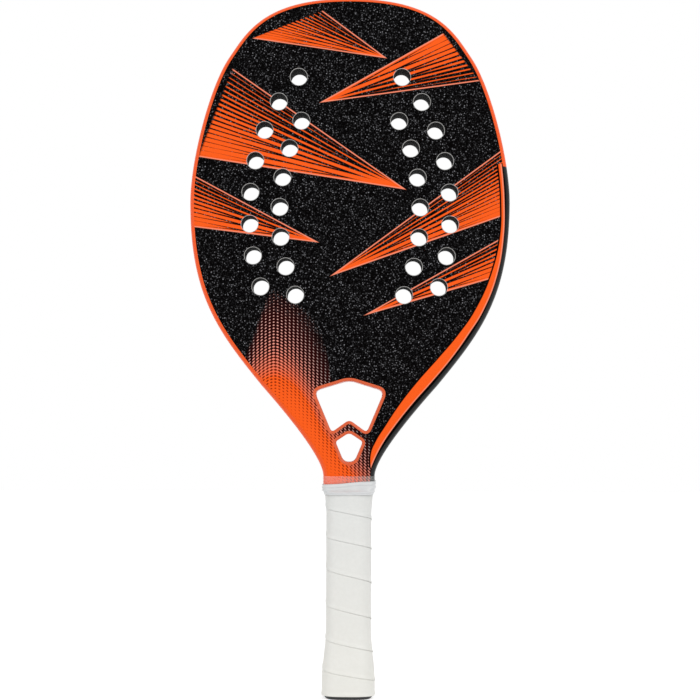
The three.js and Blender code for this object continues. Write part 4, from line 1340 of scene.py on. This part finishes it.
FLOOR_REACH = 4000.0
SKY_GREY = (0.70, 0.70, 0.70)
FLOOR_GREY = (0.86, 0.86, 0.86)
FLOOR_PALE = (0.88, 0.88, 0.88)
FLOOR_GLOW = (0.55, 0.55, 0.55)
WHITE = (1.0, 1.0, 1.0)
NO_LIGHT = (0.0, 0.0, 0.0)
LAMP_AIM, LAMP_SIZE = Vector((0, 0, 0.25)), 1.2
LAMPS = {"key": ((1.1, -1.7, 1.3), 14.0), "fill": ((-1.5, -1.2, 0.7), 6.0)}  # place and power
CAMERA_PLACE = (0.0006, -1.2, 0.19)
CAMERA_PITCH, CAMERA_ROLL = 1.45, -0.21  # degrees up and round
CAMERA_LENS, CAMERA_SHIFT, CAMERA_FAR = 86.1, 0.055, 100.0


def seen_by(nodes, *rays):
    """1 for a ray of these kinds and 0 for any other."""
    share, *others = [nodes.add("ShaderNodeLightPath", output=ray) for ray in rays]
    for other in others:
        share = share.most(other)
    return share


def floor_maker(nodes):
    seen = seen_by(nodes, "Is Camera Ray", "Is Glossy Ray")
    return {
        "Base_Color": nodes.mixed(nodes.grain(400.0), FLOOR_GREY, FLOOR_PALE),
        "Emission_Color": nodes.mixed(seen, NO_LIGHT, FLOOR_GLOW),
    }


corners = [(x * FLOOR_REACH, y * FLOOR_REACH, 0) for x, y in ((-1, -1), (1, -1), (1, 1), (-1, 1))]
floor_paint = finish("floor", floor_maker, Roughness=1.0, Emission_Strength=1.0)
floor = piece_of("floor", corners, [(0, 1, 2, 3)], [floor_paint])

world = bpy.data.worlds.new("studio")
world.use_nodes = True
sky = Nodes(world.node_tree)
glow = sky.mixed(seen_by(sky, "Is Camera Ray", "Is Glossy Ray", "Is Transmission Ray"), SKY_GREY, WHITE)
world.node_tree.links.new(glow.socket, world.node_tree.nodes["Background"].inputs["Color"])
bpy.context.scene.world = world

for name, (place, power) in LAMPS.items():
    lamp = bpy.data.lights.new(name, "AREA")
    lamp.shape = "DISK"
    lamp.size = LAMP_SIZE
    lamp.energy = power
    holder = placed(name, lamp)
    holder.location = place
    holder.rotation_euler = (LAMP_AIM - Vector(place)).to_track_quat("-Z", "Y").to_euler()

camera = bpy.data.cameras.new("camera")
camera.lens = CAMERA_LENS
camera.shift_y = CAMERA_SHIFT
camera.clip_end = CAMERA_FAR
viewer = placed("camera", camera)
viewer.location = CAMERA_PLACE
viewer.rotation_euler = (math.radians(90 + CAMERA_PITCH), math.radians(CAMERA_ROLL), 0)
bpy.context.scene.camera = viewer
bpy.context.scene.view_settings.view_transform = "Standard"
